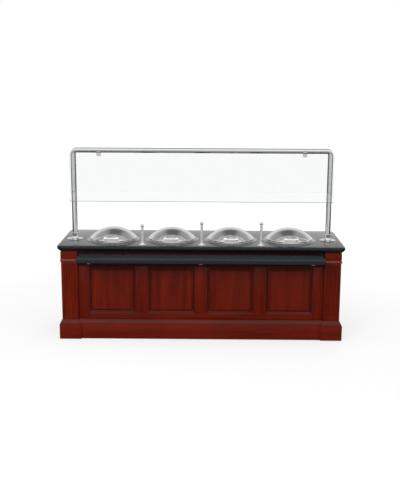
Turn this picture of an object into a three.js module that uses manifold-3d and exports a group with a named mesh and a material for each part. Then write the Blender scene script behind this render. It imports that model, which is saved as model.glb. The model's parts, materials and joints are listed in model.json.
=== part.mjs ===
// A mobile serving counter: a panelled wooden body on hidden swivel casters, a stone top with four
// covered wells, a glass guard on a bent tube frame and a fold-down tray slide along the front.
// Millimetres, +Z up. The front, where guests stand, faces -Y.
import * as THREE from 'three';
import { mergeVertices } from 'three/addons/utils/BufferGeometryUtils.js';
import Module from 'manifold-3d';

const wasm = await Module();
wasm.setup();

// Air left between pieces that touch
const FIT = 0.3;

// Stone top
const COUNTER_LENGTH = 2756;
const COUNTER_DEPTH = 850;
const COUNTER_HEIGHT = 940;
const STONE_THICKNESS = 30;
const STONE_EDGE_HEIGHT = 54;
const STONE_EDGE_WIDTH = 60;
const STONE_CORNER_RADIUS = 45;

// Wooden body: pilaster faces are the outermost, frames and panels lie behind them
const BODY_HALF_LENGTH = 1348;
const BODY_HALF_DEPTH = 377;
const FRAME_SETBACK = 26;
const FRAME_THICKNESS = 22;
const PILASTER_WIDTH = 158;
const PILASTER_DEPTH = 110;
const CAP_BLOCK_BOTTOM = 803;
const BEAD_HEIGHT = 27;
const BEAD_PROJECTION = 9;
const CAP_BLOCK_DROP = 10;
const FLUTE_RADIUS = 8;
const FLUTE_DEPTH = 6;
const FLUTE_PITCH = 25;
const FLUTES_ON_FRONT = 5;
const FLUTES_ON_SIDE = 3;
const FLUTE_BOTTOM = 241;
const FLUTE_TOP = 748;

// Skirting round the foot of the body
const PLINTH_BOTTOM = 8;
const PLINTH_TOP = 201;
const PLINTH_BOARD_TOP = 153;
const PLINTH_PROJECTION = 26;
const PLINTH_BLOCK_STEP = 18;
const PLINTH_BLOCK_WIDTH = 209;
const PLINTH_THICKNESS = 52;

// Raised panels: a moulding slopes into a groove, and a bevel rises from it to the field
const PANEL_PITCH = 571.5;
const PANEL_COUNT = 4;
const PANEL_WIDTH = 460;
const PANEL_BOTTOM = 258;
const PANEL_TOP = 731;
const SIDE_PANEL_WIDTH = 410;
const MOULDING_WIDTH = 20;
const GROOVE_WIDTH = 2.5;
const GROOVE_DEPTH = 13;
const BEVEL_WIDTH = 18;
const FIELD_DEPTH = 3;
const PANEL_BACK = 20;

// Operator's side
const CONTROL_HALF_LENGTH = 1060;
const CONTROL_BOTTOM = 730;
const CONTROL_TOP = 860;
const CONTROL_BOX_DEPTH = 70;
const BAY_BOTTOM = 222;
const BAY_TOP = 690;
const BAY_INNER = 30;
const BAY_OUTER = 1120;
const KNOB_RADIUS = 24;
const KNOB_LENGTH = 26;

// Inside
const DECK_BOTTOM = 170;
const BOARD_THICKNESS = 18;
const SHELF_HEIGHT = 466;
const CHASSIS_BOTTOM = 120;
const CHASSIS_TUBE = 50;
const CHASSIS_WALL = 3;
const WELD_LAP = 5;

// Wells and lids
const WELL_COUNT = 4;
const WELL_PITCH = 580;
const WELL_CENTRE_Y = -71;
const WELL_CUTOUT_RADIUS = 233;
const WELL_FLANGE_RADIUS = 263;
const WELL_DEPTH = 104;
const ROUND_SEGMENTS = 24;
const SEAT_HEIGHT = 6.3;
const LID_RADIUS = 232;
const LID_SKIRT_HEIGHT = 22;
const LID_DOME_HEIGHT = 94;
const LID_WALL = 2.5;
const HINGE_OFFSET = 256;
const HINGE_HEIGHT = 22;
const HINGE_PIN_RADIUS = 4;

// Utensil posts, the left one lower than the others
const POST_HEIGHTS = [203, 231, 231];
const POST_PITCH = 570;
const POST_MIDDLE = 6;
const POST_Y = -340;
const POST_BALL_RADIUS = 19;
const POST_FOOT_RADIUS = 36;

// Guard
const GUARD_HALF_LENGTH = 1252;
const GUARD_Y = -72;
const GUARD_TOP = 1846;
const TUBE_RADIUS = 25.4;
const TUBE_WALL = 3;
const TUBE_BEND_RADIUS = 30;
const TUBE_SIDES = 12;
const BEND_STEPS = 3;
const GLASS_THICKNESS = 8;
const GLASS_HALF_LENGTH = 1285;
const GLASS_BACK_GAP = 8;
const GLASS_TOP = 1791;
const GLASS_BEND_HEIGHT = 1426;
const GLASS_BEND_RADIUS = 24;
const GLASS_LIP_RUN = 62;
const GLASS_LIP_DROP = 74;
const CLIP_X = 1000;
const CLIP_WIDTH = 40;
const CLIP_GRIP = 24;
const CLIP_LIP = 6;

// Tray slide
const TRAY_LENGTH = 2336;
const TRAY_FRONT = -620;
const TRAY_BACK = -360;
const TRAY_TOP = 856;
const TRAY_THICKNESS = 40;
const TRAY_HINGE_Y = -370;
const TRAY_HINGE_HEIGHT = 783;
const TRAY_ARM_X = 1050;
const TRAY_ARM_WIDTH = 30;
const TRAY_CORNER_RADIUS = 14;

// Casters
const CASTER_X = 1180;
const CASTER_Y = 236;
const WHEEL_RADIUS = 50;
const WHEEL_SEGMENTS = 16;
const WHEEL_WIDTH = 32;
const CASTER_TRAIL = 35;
const AXLE_RADIUS = 6;

// Finishes
const FINISHES = {
  wood: { color: 0x561a0c, roughness: 0.34, metalness: 0 },
  innerWood: { color: 0x6b3a22, roughness: 0.6, metalness: 0 },
  stone: { color: 0x14181c, roughness: 0.1, metalness: 0 },
  tray: { color: 0x2b3035, roughness: 0.25, metalness: 0 },
  chrome: { color: 0xd9dcde, roughness: 0.08, metalness: 1 },
  steel: { color: 0x9a9fa3, roughness: 0.35, metalness: 1 },
  chassis: { color: 0x2a2c2e, roughness: 0.5, metalness: 0.6 },
  glass: { color: 0xdfe8e6, roughness: 0.03, metalness: 0, transparent: true, opacity: 0.3 },
  knob: { color: 0x141414, roughness: 0.4, metalness: 0 },
  rubber: { color: 0x3a3b3d, roughness: 0.8, metalness: 0 },
};

// Solids

function solidOf(geometry) {
  const plain = geometry.clone();
  plain.deleteAttribute('normal');
  plain.deleteAttribute('uv');
  const merged = mergeVertices(plain, 1e-3);
  const corners = [...merged.index.array];
  const triangles = [];
  for (let i = 0; i < corners.length; i += 3) {
    const [a, b, c] = corners.slice(i, i + 3);
    if (a !== b && b !== c && c !== a) triangles.push(a, b, c);
  }
  return new wasm.Manifold(new wasm.Mesh({
    numProp: 3,
    vertProperties: new Float32Array(merged.attributes.position.array),
    triVerts: new Uint32Array(triangles),
  }));
}

function geometryOf(solid) {
  const mesh = solid.getMesh();
  const geometry = new THREE.BufferGeometry();
  geometry.setAttribute('position', new THREE.BufferAttribute(mesh.vertProperties, 3));
  geometry.setIndex(new THREE.BufferAttribute(mesh.triVerts, 1));
  geometry.computeVertexNormals();
  return geometry;
}

function join(...pieces) {
  return geometryOf(pieces.map(solidOf).reduce((whole, piece) => whole.add(piece)));
}

function cut(base, ...tools) {
  return geometryOf(tools.map(solidOf).reduce((whole, tool) => whole.subtract(tool), solidOf(base)));
}

// A box between two limits on each axis, given in any order
function block([x0, x1], [y0, y1], [z0, z1]) {
  const size = [Math.abs(x1 - x0), Math.abs(y1 - y0), Math.abs(z1 - z0)];
  return new THREE.BoxGeometry(...size).translate((x0 + x1) / 2, (y0 + y1) / 2, (z0 + z1) / 2);
}

// A profile of [radius, height] points turned about the Z axis
function revolve(profile, segments) {
  const points = profile.map(([radius, height]) => new THREE.Vector2(radius, height));
  return new THREE.LatheGeometry(points, segments).rotateX(Math.PI / 2);
}

// A round bar along X, Y or Z
function bar(axis, radius, from, to, sides = 8) {
  const rod = new THREE.CylinderGeometry(radius, radius, to - from, sides).translate(0, (from + to) / 2, 0);
  if (axis === 'x') return rod.rotateZ(-Math.PI / 2);
  if (axis === 'z') return rod.rotateX(Math.PI / 2);
  return rod;
}

// The cutter for a pin's bore, as wide as the pin's corners need to turn past the bore's flats
function boreCutter(axis, pinRadius, from, to, sides = 8) {
  return bar(axis, (pinRadius + FIT) / Math.cos(Math.PI / sides), from, to, sides);
}

// A side view drawn in (y, z) and given width along X
const SIDE_VIEW = new THREE.Matrix4().makeBasis(
  new THREE.Vector3(0, 1, 0),
  new THREE.Vector3(0, 0, 1),
  new THREE.Vector3(1, 0, 0),
);

function sideProfile(shape, x0, x1, curveSegments = 4) {
  const options = { depth: x1 - x0, bevelEnabled: false, curveSegments };
  return new THREE.ExtrudeGeometry(shape, options).applyMatrix4(SIDE_VIEW).translate(x0, 0, 0);
}

function shapeOf(points) {
  return new THREE.Shape(points.map(([u, v]) => new THREE.Vector2(u, v)));
}

function rectangle(u0, u1, v0, v1) {
  return [[u0, v0], [u1, v0], [u1, v1], [u0, v1]].map(([u, v]) => new THREE.Vector2(u, v));
}

function roundedRectangle(halfU, halfV, radius, steps) {
  const points = [];
  const corners = [[1, -1, -90], [1, 1, 0], [-1, 1, 90], [-1, -1, 180]];
  for (const [signU, signV, startDegrees] of corners) {
    const centre = new THREE.Vector2(signU * (halfU - radius), signV * (halfV - radius));
    for (let step = 0; step <= steps; step += 1) {
      const angle = THREE.MathUtils.degToRad(startDegrees + (90 * step) / steps);
      points.push(new THREE.Vector2(Math.cos(angle), Math.sin(angle)).multiplyScalar(radius).add(centre));
    }
  }
  return points;
}

function outwardNormal(from, to) {
  return new THREE.Vector2(to.y - from.y, from.x - to.x).normalize();
}

// The outline drawn in by a distance, with mitred corners
function drawnIn(outline, distance) {
  const count = outline.length;
  return outline.map((point, i) => {
    const normal = outwardNormal(outline[(i + count - 1) % count], point);
    const next = outwardNormal(point, outline[(i + 1) % count]);
    const reach = distance / (1 + normal.dot(next));
    return point.clone().sub(normal.add(next).multiplyScalar(reach));
  });
}

// Skins a list of rings, each a list of Vector3 running anticlockwise seen from the first ring's side.
// A closed skin joins its last ring to its first, and an open one gets a cap on both ends.
function skin(rings, closed, cap = []) {
  const count = rings[0].length;
  const triangles = [];
  const bands = closed ? rings.length : rings.length - 1;
  for (let band = 0; band < bands; band += 1) {
    const upper = band * count;
    const lower = ((band + 1) % rings.length) * count;
    for (let i = 0; i < count; i += 1) {
      const next = (i + 1) % count;
      triangles.push(upper + i, lower + i, lower + next, upper + i, lower + next, upper + next);
    }
  }
  const last = (rings.length - 1) * count;
  for (const [a, b, c] of cap) triangles.push(a, b, c, last + a, last + c, last + b);
  const geometry = new THREE.BufferGeometry();
  const flat = rings.flat().flatMap((point) => [point.x, point.y, point.z]);
  geometry.setAttribute('position', new THREE.Float32BufferAttribute(flat, 3));
  geometry.setIndex(triangles);
  geometry.computeVertexNormals();
  return geometry;
}

// A moulding profile of [inset, height] points run round an outline with mitred corners.
// A closed profile makes a ring, and an open one is filled in by flat faces on top and below.
function moulded(outline, profile, closed = false) {
  const rings = profile.map(([inset, height]) => drawnIn(outline, inset)
    .map((point) => new THREE.Vector3(point.x, point.y, height)));
  const cap = closed ? [] : THREE.ShapeUtils.triangulateShape(outline, []);
  return skin(rings, closed, cap);
}

// Meshes

const cart = new THREE.Group();

function piece(name, finish, geometry, parent = cart) {
  const mesh = new THREE.Mesh(geometry, new THREE.MeshStandardMaterial(FINISHES[finish]));
  mesh.name = name;
  parent.add(mesh);
  return mesh;
}

// A group turned to face one side of the cart, for pieces drawn as (along, up, outward)
function facing(degrees) {
  const side = new THREE.Group();
  side.rotation.set(Math.PI / 2, 0, 0);
  const turn = new THREE.Group();
  turn.rotation.z = THREE.MathUtils.degToRad(degrees);
  turn.add(side);
  cart.add(turn);
  return side;
}

const front = facing(0);
const right = facing(90);
const rear = facing(180);
const left = facing(-90);

// Countertop

function stoneTop() {
  const outline = roundedRectangle(COUNTER_LENGTH / 2, COUNTER_DEPTH / 2, STONE_CORNER_RADIUS, 3);
  const top = COUNTER_HEIGHT;
  const bottom = top - STONE_EDGE_HEIGHT;
  const slab = moulded(outline, [
    [12, top],
    [5, top - 2],
    [1.5, top - 5],
    [0, top - 9],
    [0, top - 26],
    [3, top - 34],
    [9, top - 41],
    [17, top - 47],
    [26, bottom],
  ]);
  const hollow = block(
    [-COUNTER_LENGTH / 2 + STONE_EDGE_WIDTH, COUNTER_LENGTH / 2 - STONE_EDGE_WIDTH],
    [-COUNTER_DEPTH / 2 + STONE_EDGE_WIDTH, COUNTER_DEPTH / 2 - STONE_EDGE_WIDTH],
    [bottom - 1, top - STONE_THICKNESS],
  );
  const holes = wellCentres().map((x) => bar('z', WELL_CUTOUT_RADIUS, bottom, top + 1, ROUND_SEGMENTS)
    .translate(x, WELL_CENTRE_Y, 0));
  return cut(slab, hollow, ...holes);
}

function wellCentres() {
  return Array.from({ length: WELL_COUNT }, (_, i) => (i - (WELL_COUNT - 1) / 2) * WELL_PITCH);
}

// Wells: a turned pan hanging by its flange, with two ears and a pin for the lid at the rear

const FLANGE_BOTTOM = COUNTER_HEIGHT + FIT;
const SEAT_TOP = COUNTER_HEIGHT + SEAT_HEIGHT;
const HINGE_Z = COUNTER_HEIGHT + HINGE_HEIGHT;
const EAR_INNER = 27;
const EAR_OUTER = 34;
const EAR_RADIUS = 9;
const EAR_FRONT = 16;
const EAR_BACK = 13;
const PAN_WALL = 3;
const PAN_RIM_RADIUS = 222;
const PAN_FLOOR_RADIUS = 204;
const HINGE_PAD_THICKNESS = 4;

function wellPan() {
  const bottom = COUNTER_HEIGHT - WELL_DEPTH;
  const pan = revolve([
    [0, bottom - PAN_WALL],
    [PAN_FLOOR_RADIUS, bottom - PAN_WALL],
    [PAN_RIM_RADIUS, FLANGE_BOTTOM],
    [WELL_FLANGE_RADIUS, FLANGE_BOTTOM],
    [WELL_FLANGE_RADIUS, COUNTER_HEIGHT + 4],
    [WELL_FLANGE_RADIUS - 8, SEAT_TOP],
    [LID_RADIUS + 2, SEAT_TOP],
    [LID_RADIUS - 3, COUNTER_HEIGHT + 4.5],
    [PAN_RIM_RADIUS - PAN_WALL, COUNTER_HEIGHT + 4.5],
    [PAN_FLOOR_RADIUS - PAN_WALL, bottom],
    [0, bottom],
  ], ROUND_SEGMENTS);
  const ear = new THREE.Shape();
  ear.moveTo(HINGE_OFFSET - EAR_FRONT, FLANGE_BOTTOM + 1);
  ear.lineTo(HINGE_OFFSET + EAR_BACK, FLANGE_BOTTOM + 1);
  ear.lineTo(HINGE_OFFSET + EAR_RADIUS, HINGE_Z);
  ear.absarc(HINGE_OFFSET, HINGE_Z, EAR_RADIUS, 0, Math.PI, false);
  const ears = [-1, 1].map((sign) => sideProfile(
    ear,
    Math.min(sign * EAR_INNER, sign * EAR_OUTER),
    Math.max(sign * EAR_INNER, sign * EAR_OUTER),
  ));
  const pad = block(
    [-EAR_OUTER, EAR_OUTER],
    [HINGE_OFFSET - EAR_FRONT - 2, HINGE_OFFSET + EAR_BACK],
    [FLANGE_BOTTOM, FLANGE_BOTTOM + HINGE_PAD_THICKNESS],
  );
  const pin = bar('x', HINGE_PIN_RADIUS, -EAR_OUTER - 2, EAR_OUTER + 2).translate(0, HINGE_OFFSET, HINGE_Z);
  return join(pan, pad, ...ears, pin);
}

// Lids: a dome on a short skirt with a rolled edge, and the hinge knuckle at its rear

const LID_BOTTOM = SEAT_TOP + FIT;
const SKIRT_TOP = LID_BOTTOM + LID_SKIRT_HEIGHT;
const DOME_EDGE_RADIUS = LID_RADIUS - 4;
const DOME_SPHERE = (DOME_EDGE_RADIUS ** 2 + LID_DOME_HEIGHT ** 2) / (2 * LID_DOME_HEIGHT);
const DOME_RINGS = [180, 110, 0];

function domeHeight(radius) {
  return SKIRT_TOP + LID_DOME_HEIGHT - DOME_SPHERE + Math.sqrt(DOME_SPHERE ** 2 - radius ** 2);
}

function lidShell() {
  const outside = DOME_RINGS.map((radius) => [radius, domeHeight(radius)]);
  const lining = [0, 110, 195].map((radius) => [radius, domeHeight(radius) - LID_WALL]);
  const dome = revolve([
    ...lining,
    [DOME_EDGE_RADIUS - LID_WALL, SKIRT_TOP - LID_WALL],
    [LID_RADIUS - LID_WALL, LID_BOTTOM],
    [LID_RADIUS + 3, LID_BOTTOM + 1],
    [LID_RADIUS, LID_BOTTOM + 5],
    [LID_RADIUS, SKIRT_TOP - 4],
    [DOME_EDGE_RADIUS, SKIRT_TOP],
    ...outside,
  ], ROUND_SEGMENTS);
  const halfWidth = EAR_INNER - 1;
  const knuckle = bar('x', EAR_RADIUS, -halfWidth, halfWidth, 12).translate(0, HINGE_OFFSET, HINGE_Z);
  const strap = block(
    [-halfWidth, halfWidth],
    [LID_RADIUS - 7, HINGE_OFFSET - 4],
    [HINGE_Z - 4, HINGE_Z + 5],
  );
  const bore = boreCutter('x', HINGE_PIN_RADIUS, -EAR_OUTER, EAR_OUTER).translate(0, HINGE_OFFSET, HINGE_Z);
  const inside = bar('z', LID_RADIUS - LID_WALL - 1, HINGE_Z - 9, HINGE_Z + 9, ROUND_SEGMENTS);
  return join(dome, cut(join(knuckle, strap), bore, inside));
}

// Lid handles: a round grip on two turned arms that come forward from the dome, cut to its curve

const HANDLE_HALF_SPAN = 56;
const HANDLE_ARM_LENGTH = 46;
const HANDLE_LEAN = THREE.MathUtils.degToRad(78);
const GRIP_REACH = 240;
const GRIP_LIFT = 20;
const GRIP_RADIUS = 9;
const BOSS_RADIUS = 13;
const BOSS_LENGTH = 26;
const ARM_RADIUS = 7;
const FOOT_GAP = 0.5;

function lidHandle() {
  const arm = revolve([
    [0, -HANDLE_ARM_LENGTH],
    [BOSS_RADIUS, -HANDLE_ARM_LENGTH],
    [BOSS_RADIUS, BOSS_LENGTH - HANDLE_ARM_LENGTH],
    [ARM_RADIUS, BOSS_LENGTH - HANDLE_ARM_LENGTH + 4],
    [ARM_RADIUS, 0],
    [0, 0],
  ], 8);
  const grip = new THREE.CapsuleGeometry(GRIP_RADIUS, 2 * HANDLE_HALF_SPAN + 4, 1, 8).rotateZ(Math.PI / 2);
  const arms = [-1, 1].map((sign) => arm.clone().translate(sign * HANDLE_HALF_SPAN, 0, 0));
  const handle = join(grip, ...arms).rotateX(HANDLE_LEAN).translate(0, -GRIP_REACH, SKIRT_TOP + GRIP_LIFT);
  const dome = revolve([
    [0, LID_BOTTOM],
    [DOME_EDGE_RADIUS + FOOT_GAP, LID_BOTTOM],
    [DOME_EDGE_RADIUS + FOOT_GAP, SKIRT_TOP + FOOT_GAP],
    ...DOME_RINGS.map((radius) => [radius, domeHeight(radius) + 2 * FOOT_GAP]),
  ], ROUND_SEGMENTS);
  return cut(handle, dome);
}

// Utensil posts: a flared foot, a stem that narrows a little and a ball

function utensilPost(height) {
  const ballCentre = height - POST_BALL_RADIUS;
  const ball = [-45, 0, 45].map((degrees) => {
    const angle = THREE.MathUtils.degToRad(degrees);
    return [POST_BALL_RADIUS * Math.cos(angle), ballCentre + POST_BALL_RADIUS * Math.sin(angle)];
  });
  return revolve([
    [0, 0],
    [POST_FOOT_RADIUS, 0],
    [POST_FOOT_RADIUS, 2.5],
    [26, 6],
    [17, 16],
    [13.5, 34],
    [12, height - 52],
    ...ball,
    [0, height],
  ], 12);
}

// Guard: one bent tube with two lugs that steady the glass, and a bell foot on each side

const GLASS_BACK = GUARD_Y - TUBE_RADIUS - GLASS_BACK_GAP;
const GLASS_FRONT = GLASS_BACK - GLASS_THICKNESS;
const LUG_HEIGHT = 1501;
const LUG_RADIUS = 11;

// The polygon drawn for the tube has its flats, not its corners, on the round tube
const TUBE_CORNER = 1 / Math.cos(Math.PI / TUBE_SIDES);

function guardTube() {
  const reach = GUARD_HALF_LENGTH - TUBE_BEND_RADIUS;
  const axisTop = GUARD_TOP - TUBE_RADIUS;
  const stations = [{ x: -GUARD_HALF_LENGTH, z: COUNTER_HEIGHT + FIT, degrees: 180 }];
  for (const side of [-1, 1]) {
    for (let step = 0; step <= BEND_STEPS; step += 1) {
      const degrees = side < 0 ? 180 - (90 * step) / BEND_STEPS : 90 - (90 * step) / BEND_STEPS;
      const angle = THREE.MathUtils.degToRad(degrees);
      stations.push({
        x: side * reach + TUBE_BEND_RADIUS * Math.cos(angle),
        z: axisTop - TUBE_BEND_RADIUS + TUBE_BEND_RADIUS * Math.sin(angle),
        degrees,
      });
    }
  }
  stations.push({ x: GUARD_HALF_LENGTH, z: COUNTER_HEIGHT + FIT, degrees: 0 });
  const ringAt = (radius) => ({ x, z, degrees }) => {
    const bend = THREE.MathUtils.degToRad(degrees);
    return Array.from({ length: TUBE_SIDES }, (_, i) => {
      const turn = (2 * Math.PI * (i + 0.5)) / TUBE_SIDES;
      const out = radius * Math.cos(turn);
      const y = GUARD_Y + radius * Math.sin(turn);
      return new THREE.Vector3(x + out * Math.cos(bend), y, z + out * Math.sin(bend));
    });
  };
  const outer = stations.map(ringAt(TUBE_RADIUS * TUBE_CORNER));
  const inner = stations.map(ringAt((TUBE_RADIUS - TUBE_WALL) * TUBE_CORNER)).reverse();
  const tube = skin([...outer, ...inner], true);
  const lugBack = GUARD_Y - TUBE_RADIUS + TUBE_WALL / 2;
  const lugs = [-1, 1].map((side) => bar('y', LUG_RADIUS, GLASS_BACK + FIT, lugBack)
    .translate(side * GUARD_HALF_LENGTH, 0, LUG_HEIGHT));
  return join(tube, ...lugs);
}

const FLANGE_SEGMENTS = 12;
const FLANGE_RADIUS = 78;
const FLANGE_HEIGHT = 64;

function guardFlange() {
  const bore = (TUBE_RADIUS * TUBE_CORNER + FIT) / Math.cos(Math.PI / FLANGE_SEGMENTS);
  return revolve([
    [bore, 0],
    [FLANGE_RADIUS, 0],
    [FLANGE_RADIUS, 4],
    [FLANGE_RADIUS - 8, 8],
    [44, 11],
    [37, 18],
    [33, 40],
    [29.5, FLANGE_HEIGHT - 2],
    [bore, FLANGE_HEIGHT],
    [bore, 0],
  ], FLANGE_SEGMENTS);
}

function guardGlass() {
  const lipAngle = Math.atan2(GLASS_LIP_DROP, GLASS_LIP_RUN);
  const lipLength = Math.hypot(GLASS_LIP_RUN, GLASS_LIP_DROP);
  const turn = Math.PI / 2 - lipAngle;
  const centreY = GLASS_FRONT - GLASS_BEND_RADIUS;
  const shape = new THREE.Shape();
  const lipY = -Math.cos(lipAngle);
  const lipZ = -Math.sin(lipAngle);
  const inner = GLASS_BEND_RADIUS;
  const outer = GLASS_BEND_RADIUS + GLASS_THICKNESS;
  const innerEnd = [centreY + inner * Math.cos(turn), GLASS_BEND_HEIGHT - inner * Math.sin(turn)];
  const outerEnd = [centreY + outer * Math.cos(turn), GLASS_BEND_HEIGHT - outer * Math.sin(turn)];
  shape.moveTo(GLASS_FRONT, GLASS_TOP);
  shape.lineTo(GLASS_FRONT, GLASS_BEND_HEIGHT);
  shape.absarc(centreY, GLASS_BEND_HEIGHT, inner, 0, -turn, true);
  shape.lineTo(innerEnd[0] + lipLength * lipY, innerEnd[1] + lipLength * lipZ);
  shape.lineTo(outerEnd[0] + lipLength * lipY, outerEnd[1] + lipLength * lipZ);
  shape.lineTo(...outerEnd);
  shape.absarc(centreY, GLASS_BEND_HEIGHT, outer, -turn, 0, false);
  shape.lineTo(GLASS_BACK, GLASS_TOP);
  return sideProfile(shape, -GLASS_HALF_LENGTH, GLASS_HALF_LENGTH);
}

// A clip on the front of the top rail, with a slot over the pane's upper edge
function glassClip() {
  const back = GUARD_Y - TUBE_RADIUS - FIT;
  const face = GLASS_FRONT - CLIP_LIP;
  const railMiddle = GUARD_TOP - TUBE_RADIUS;
  const shape = shapeOf([
    [back, railMiddle - 4],
    [face + 3, railMiddle - 4],
    [face, railMiddle - 7],
    [face, GLASS_TOP - CLIP_GRIP],
    [GLASS_FRONT - FIT, GLASS_TOP - CLIP_GRIP],
    [GLASS_FRONT - FIT, GLASS_TOP + FIT],
    [GLASS_BACK + FIT, GLASS_TOP + FIT],
    [GLASS_BACK + FIT, GLASS_TOP - CLIP_GRIP],
    [back, GLASS_TOP - CLIP_GRIP],
  ]);
  return sideProfile(shape, -CLIP_WIDTH / 2, CLIP_WIDTH / 2);
}

// Pilasters: a fluted shaft under a bead that slopes outward and a cap block

function pilaster(signX, signY) {
  const bottom = PLINTH_TOP + FIT;
  const top = COUNTER_HEIGHT - STONE_EDGE_HEIGHT - FIT;
  const outerX = signX * BODY_HALF_LENGTH;
  const outerY = signY * BODY_HALF_DEPTH;
  const innerX = outerX - signX * PILASTER_WIDTH;
  const innerY = outerY - signY * PILASTER_DEPTH;
  const shaft = block([outerX, innerX], [outerY, innerY], [bottom, top]);
  const grooveCentre = FLUTE_RADIUS - FLUTE_DEPTH;
  const groove = new THREE.CapsuleGeometry(FLUTE_RADIUS, FLUTE_TOP - FLUTE_BOTTOM, 1, 6)
    .rotateX(Math.PI / 2).translate(0, 0, (FLUTE_TOP + FLUTE_BOTTOM) / 2);
  const flutes = [];
  for (let i = 0; i < FLUTES_ON_FRONT; i += 1) {
    const across = PILASTER_WIDTH / 2 + (i - (FLUTES_ON_FRONT - 1) / 2) * FLUTE_PITCH;
    flutes.push(groove.clone().translate(outerX - signX * across, outerY + signY * grooveCentre, 0));
  }
  for (let i = 0; i < FLUTES_ON_SIDE; i += 1) {
    const across = PILASTER_DEPTH / 2 + (i - (FLUTES_ON_SIDE - 1) / 2) * FLUTE_PITCH;
    flutes.push(groove.clone().translate(outerX + signX * grooveCentre, outerY - signY * across, 0));
  }
  const bead = [
    [0, 0],
    [-3, -2],
    [-7, -12],
    [-BEAD_PROJECTION, 7 - BEAD_HEIGHT],
    [-6, 2 - BEAD_HEIGHT],
    [0, -BEAD_HEIGHT],
  ];
  const capHeight = top - CAP_BLOCK_DROP - CAP_BLOCK_BOTTOM;
  const cap = [[0, capHeight], [0, capHeight - 2], [-3, capHeight - 6], [-3, 0]];
  const midX = (outerX + innerX) / 2 + (signX * BEAD_PROJECTION) / 2;
  const midY = (outerY + innerY) / 2 + (signY * BEAD_PROJECTION) / 2;
  const halfX = PILASTER_WIDTH / 2 - BEAD_PROJECTION / 2;
  const halfY = PILASTER_DEPTH / 2 - BEAD_PROJECTION / 2;
  const outline = rectangle(-halfX, halfX, -halfY, halfY);
  const beadRing = moulded(outline, bead);
  const capBlock = moulded(outline, cap);
  return join(
    cut(shaft, ...flutes),
    beadRing.translate(midX, midY, CAP_BLOCK_BOTTOM),
    capBlock.translate(midX, midY, CAP_BLOCK_BOTTOM),
  );
}

// Framed panels

const FRAME_BOTTOM = PLINTH_TOP + FIT;
const FRAME_TOP = COUNTER_HEIGHT - STONE_EDGE_HEIGHT - FIT;

// A board of stiles and rails, with openings given as limits along and limits up
function frameBoard(halfLength, openings) {
  const board = block([-halfLength, halfLength], [FRAME_BOTTOM, FRAME_TOP], [0, FRAME_THICKNESS]);
  return cut(board, ...openings.map(([along, up]) => block(along, up, [-1, FRAME_THICKNESS + 1])));
}

const LONG_FRAME_HALF = BODY_HALF_LENGTH - PILASTER_WIDTH - FIT;
const SHORT_FRAME_HALF = BODY_HALF_DEPTH - PILASTER_DEPTH - FIT;
const FRONT_FACE = BODY_HALF_DEPTH - FRAME_SETBACK;
const SIDE_FACE = BODY_HALF_LENGTH - FRAME_SETBACK;

function panelCentres() {
  return Array.from({ length: PANEL_COUNT }, (_, i) => (i - (PANEL_COUNT - 1) / 2) * PANEL_PITCH);
}

// A raised panel: its moulding stands a little proud of the frame
function panel(width) {
  const height = PANEL_TOP - PANEL_BOTTOM;
  const outline = rectangle(-width / 2 + FIT, width / 2 - FIT, -height / 2 + FIT, height / 2 - FIT);
  const bevelFoot = MOULDING_WIDTH + GROOVE_WIDTH;
  return moulded(outline, [
    [bevelFoot + BEVEL_WIDTH, -FIELD_DEPTH],
    [bevelFoot + BEVEL_WIDTH - 1, -FIELD_DEPTH - 2],
    [bevelFoot, -GROOVE_DEPTH],
    [MOULDING_WIDTH, -GROOVE_DEPTH],
    [MOULDING_WIDTH - 5, -9],
    [9, -2],
    [5, 1.5],
    [2, 2],
    [0, 0],
    [0, -PANEL_BACK],
  ]);
}

function addFraming() {
  const middle = (PANEL_TOP + PANEL_BOTTOM) / 2;
  const panelLevels = [PANEL_BOTTOM, PANEL_TOP];
  const frontOpenings = panelCentres().map((x) => [[x - PANEL_WIDTH / 2, x + PANEL_WIDTH / 2], panelLevels]);
  const frontFrame = piece('front_frame', 'wood', frameBoard(LONG_FRAME_HALF, frontOpenings), front);
  frontFrame.position.z = FRONT_FACE - FRAME_THICKNESS;
  panelCentres().forEach((x, i) => {
    piece(`front_panel_${i + 1}`, 'wood', panel(PANEL_WIDTH), front).position.set(x, middle, FRONT_FACE);
  });

  const sideOpening = [[-SIDE_PANEL_WIDTH / 2, SIDE_PANEL_WIDTH / 2], panelLevels];
  for (const [name, side] of [['left', left], ['right', right]]) {
    const frame = piece(`side_frame_${name}`, 'wood', frameBoard(SHORT_FRAME_HALF, [sideOpening]), side);
    frame.position.z = SIDE_FACE - FRAME_THICKNESS;
    piece(`side_panel_${name}`, 'wood', panel(SIDE_PANEL_WIDTH), side).position.set(0, middle, SIDE_FACE);
  }

  const rearOpenings = [
    [[-BAY_OUTER, -BAY_INNER], [BAY_BOTTOM, BAY_TOP]],
    [[BAY_INNER, BAY_OUTER], [BAY_BOTTOM, BAY_TOP]],
    [[-CONTROL_HALF_LENGTH, CONTROL_HALF_LENGTH], [CONTROL_BOTTOM, CONTROL_TOP]],
  ];
  const rearFrame = piece('rear_frame', 'wood', frameBoard(LONG_FRAME_HALF, rearOpenings), rear);
  rearFrame.position.z = FRONT_FACE - FRAME_THICKNESS;

  for (const [nameX, signX] of [['left', -1], ['right', 1]]) {
    for (const [nameY, signY] of [['front', -1], ['rear', 1]]) {
      piece(`pilaster_${nameY}_${nameX}`, 'wood', pilaster(signX, signY));
    }
  }
}

// Plinth: a moulded board that breaks forward round a block under each pilaster

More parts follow.
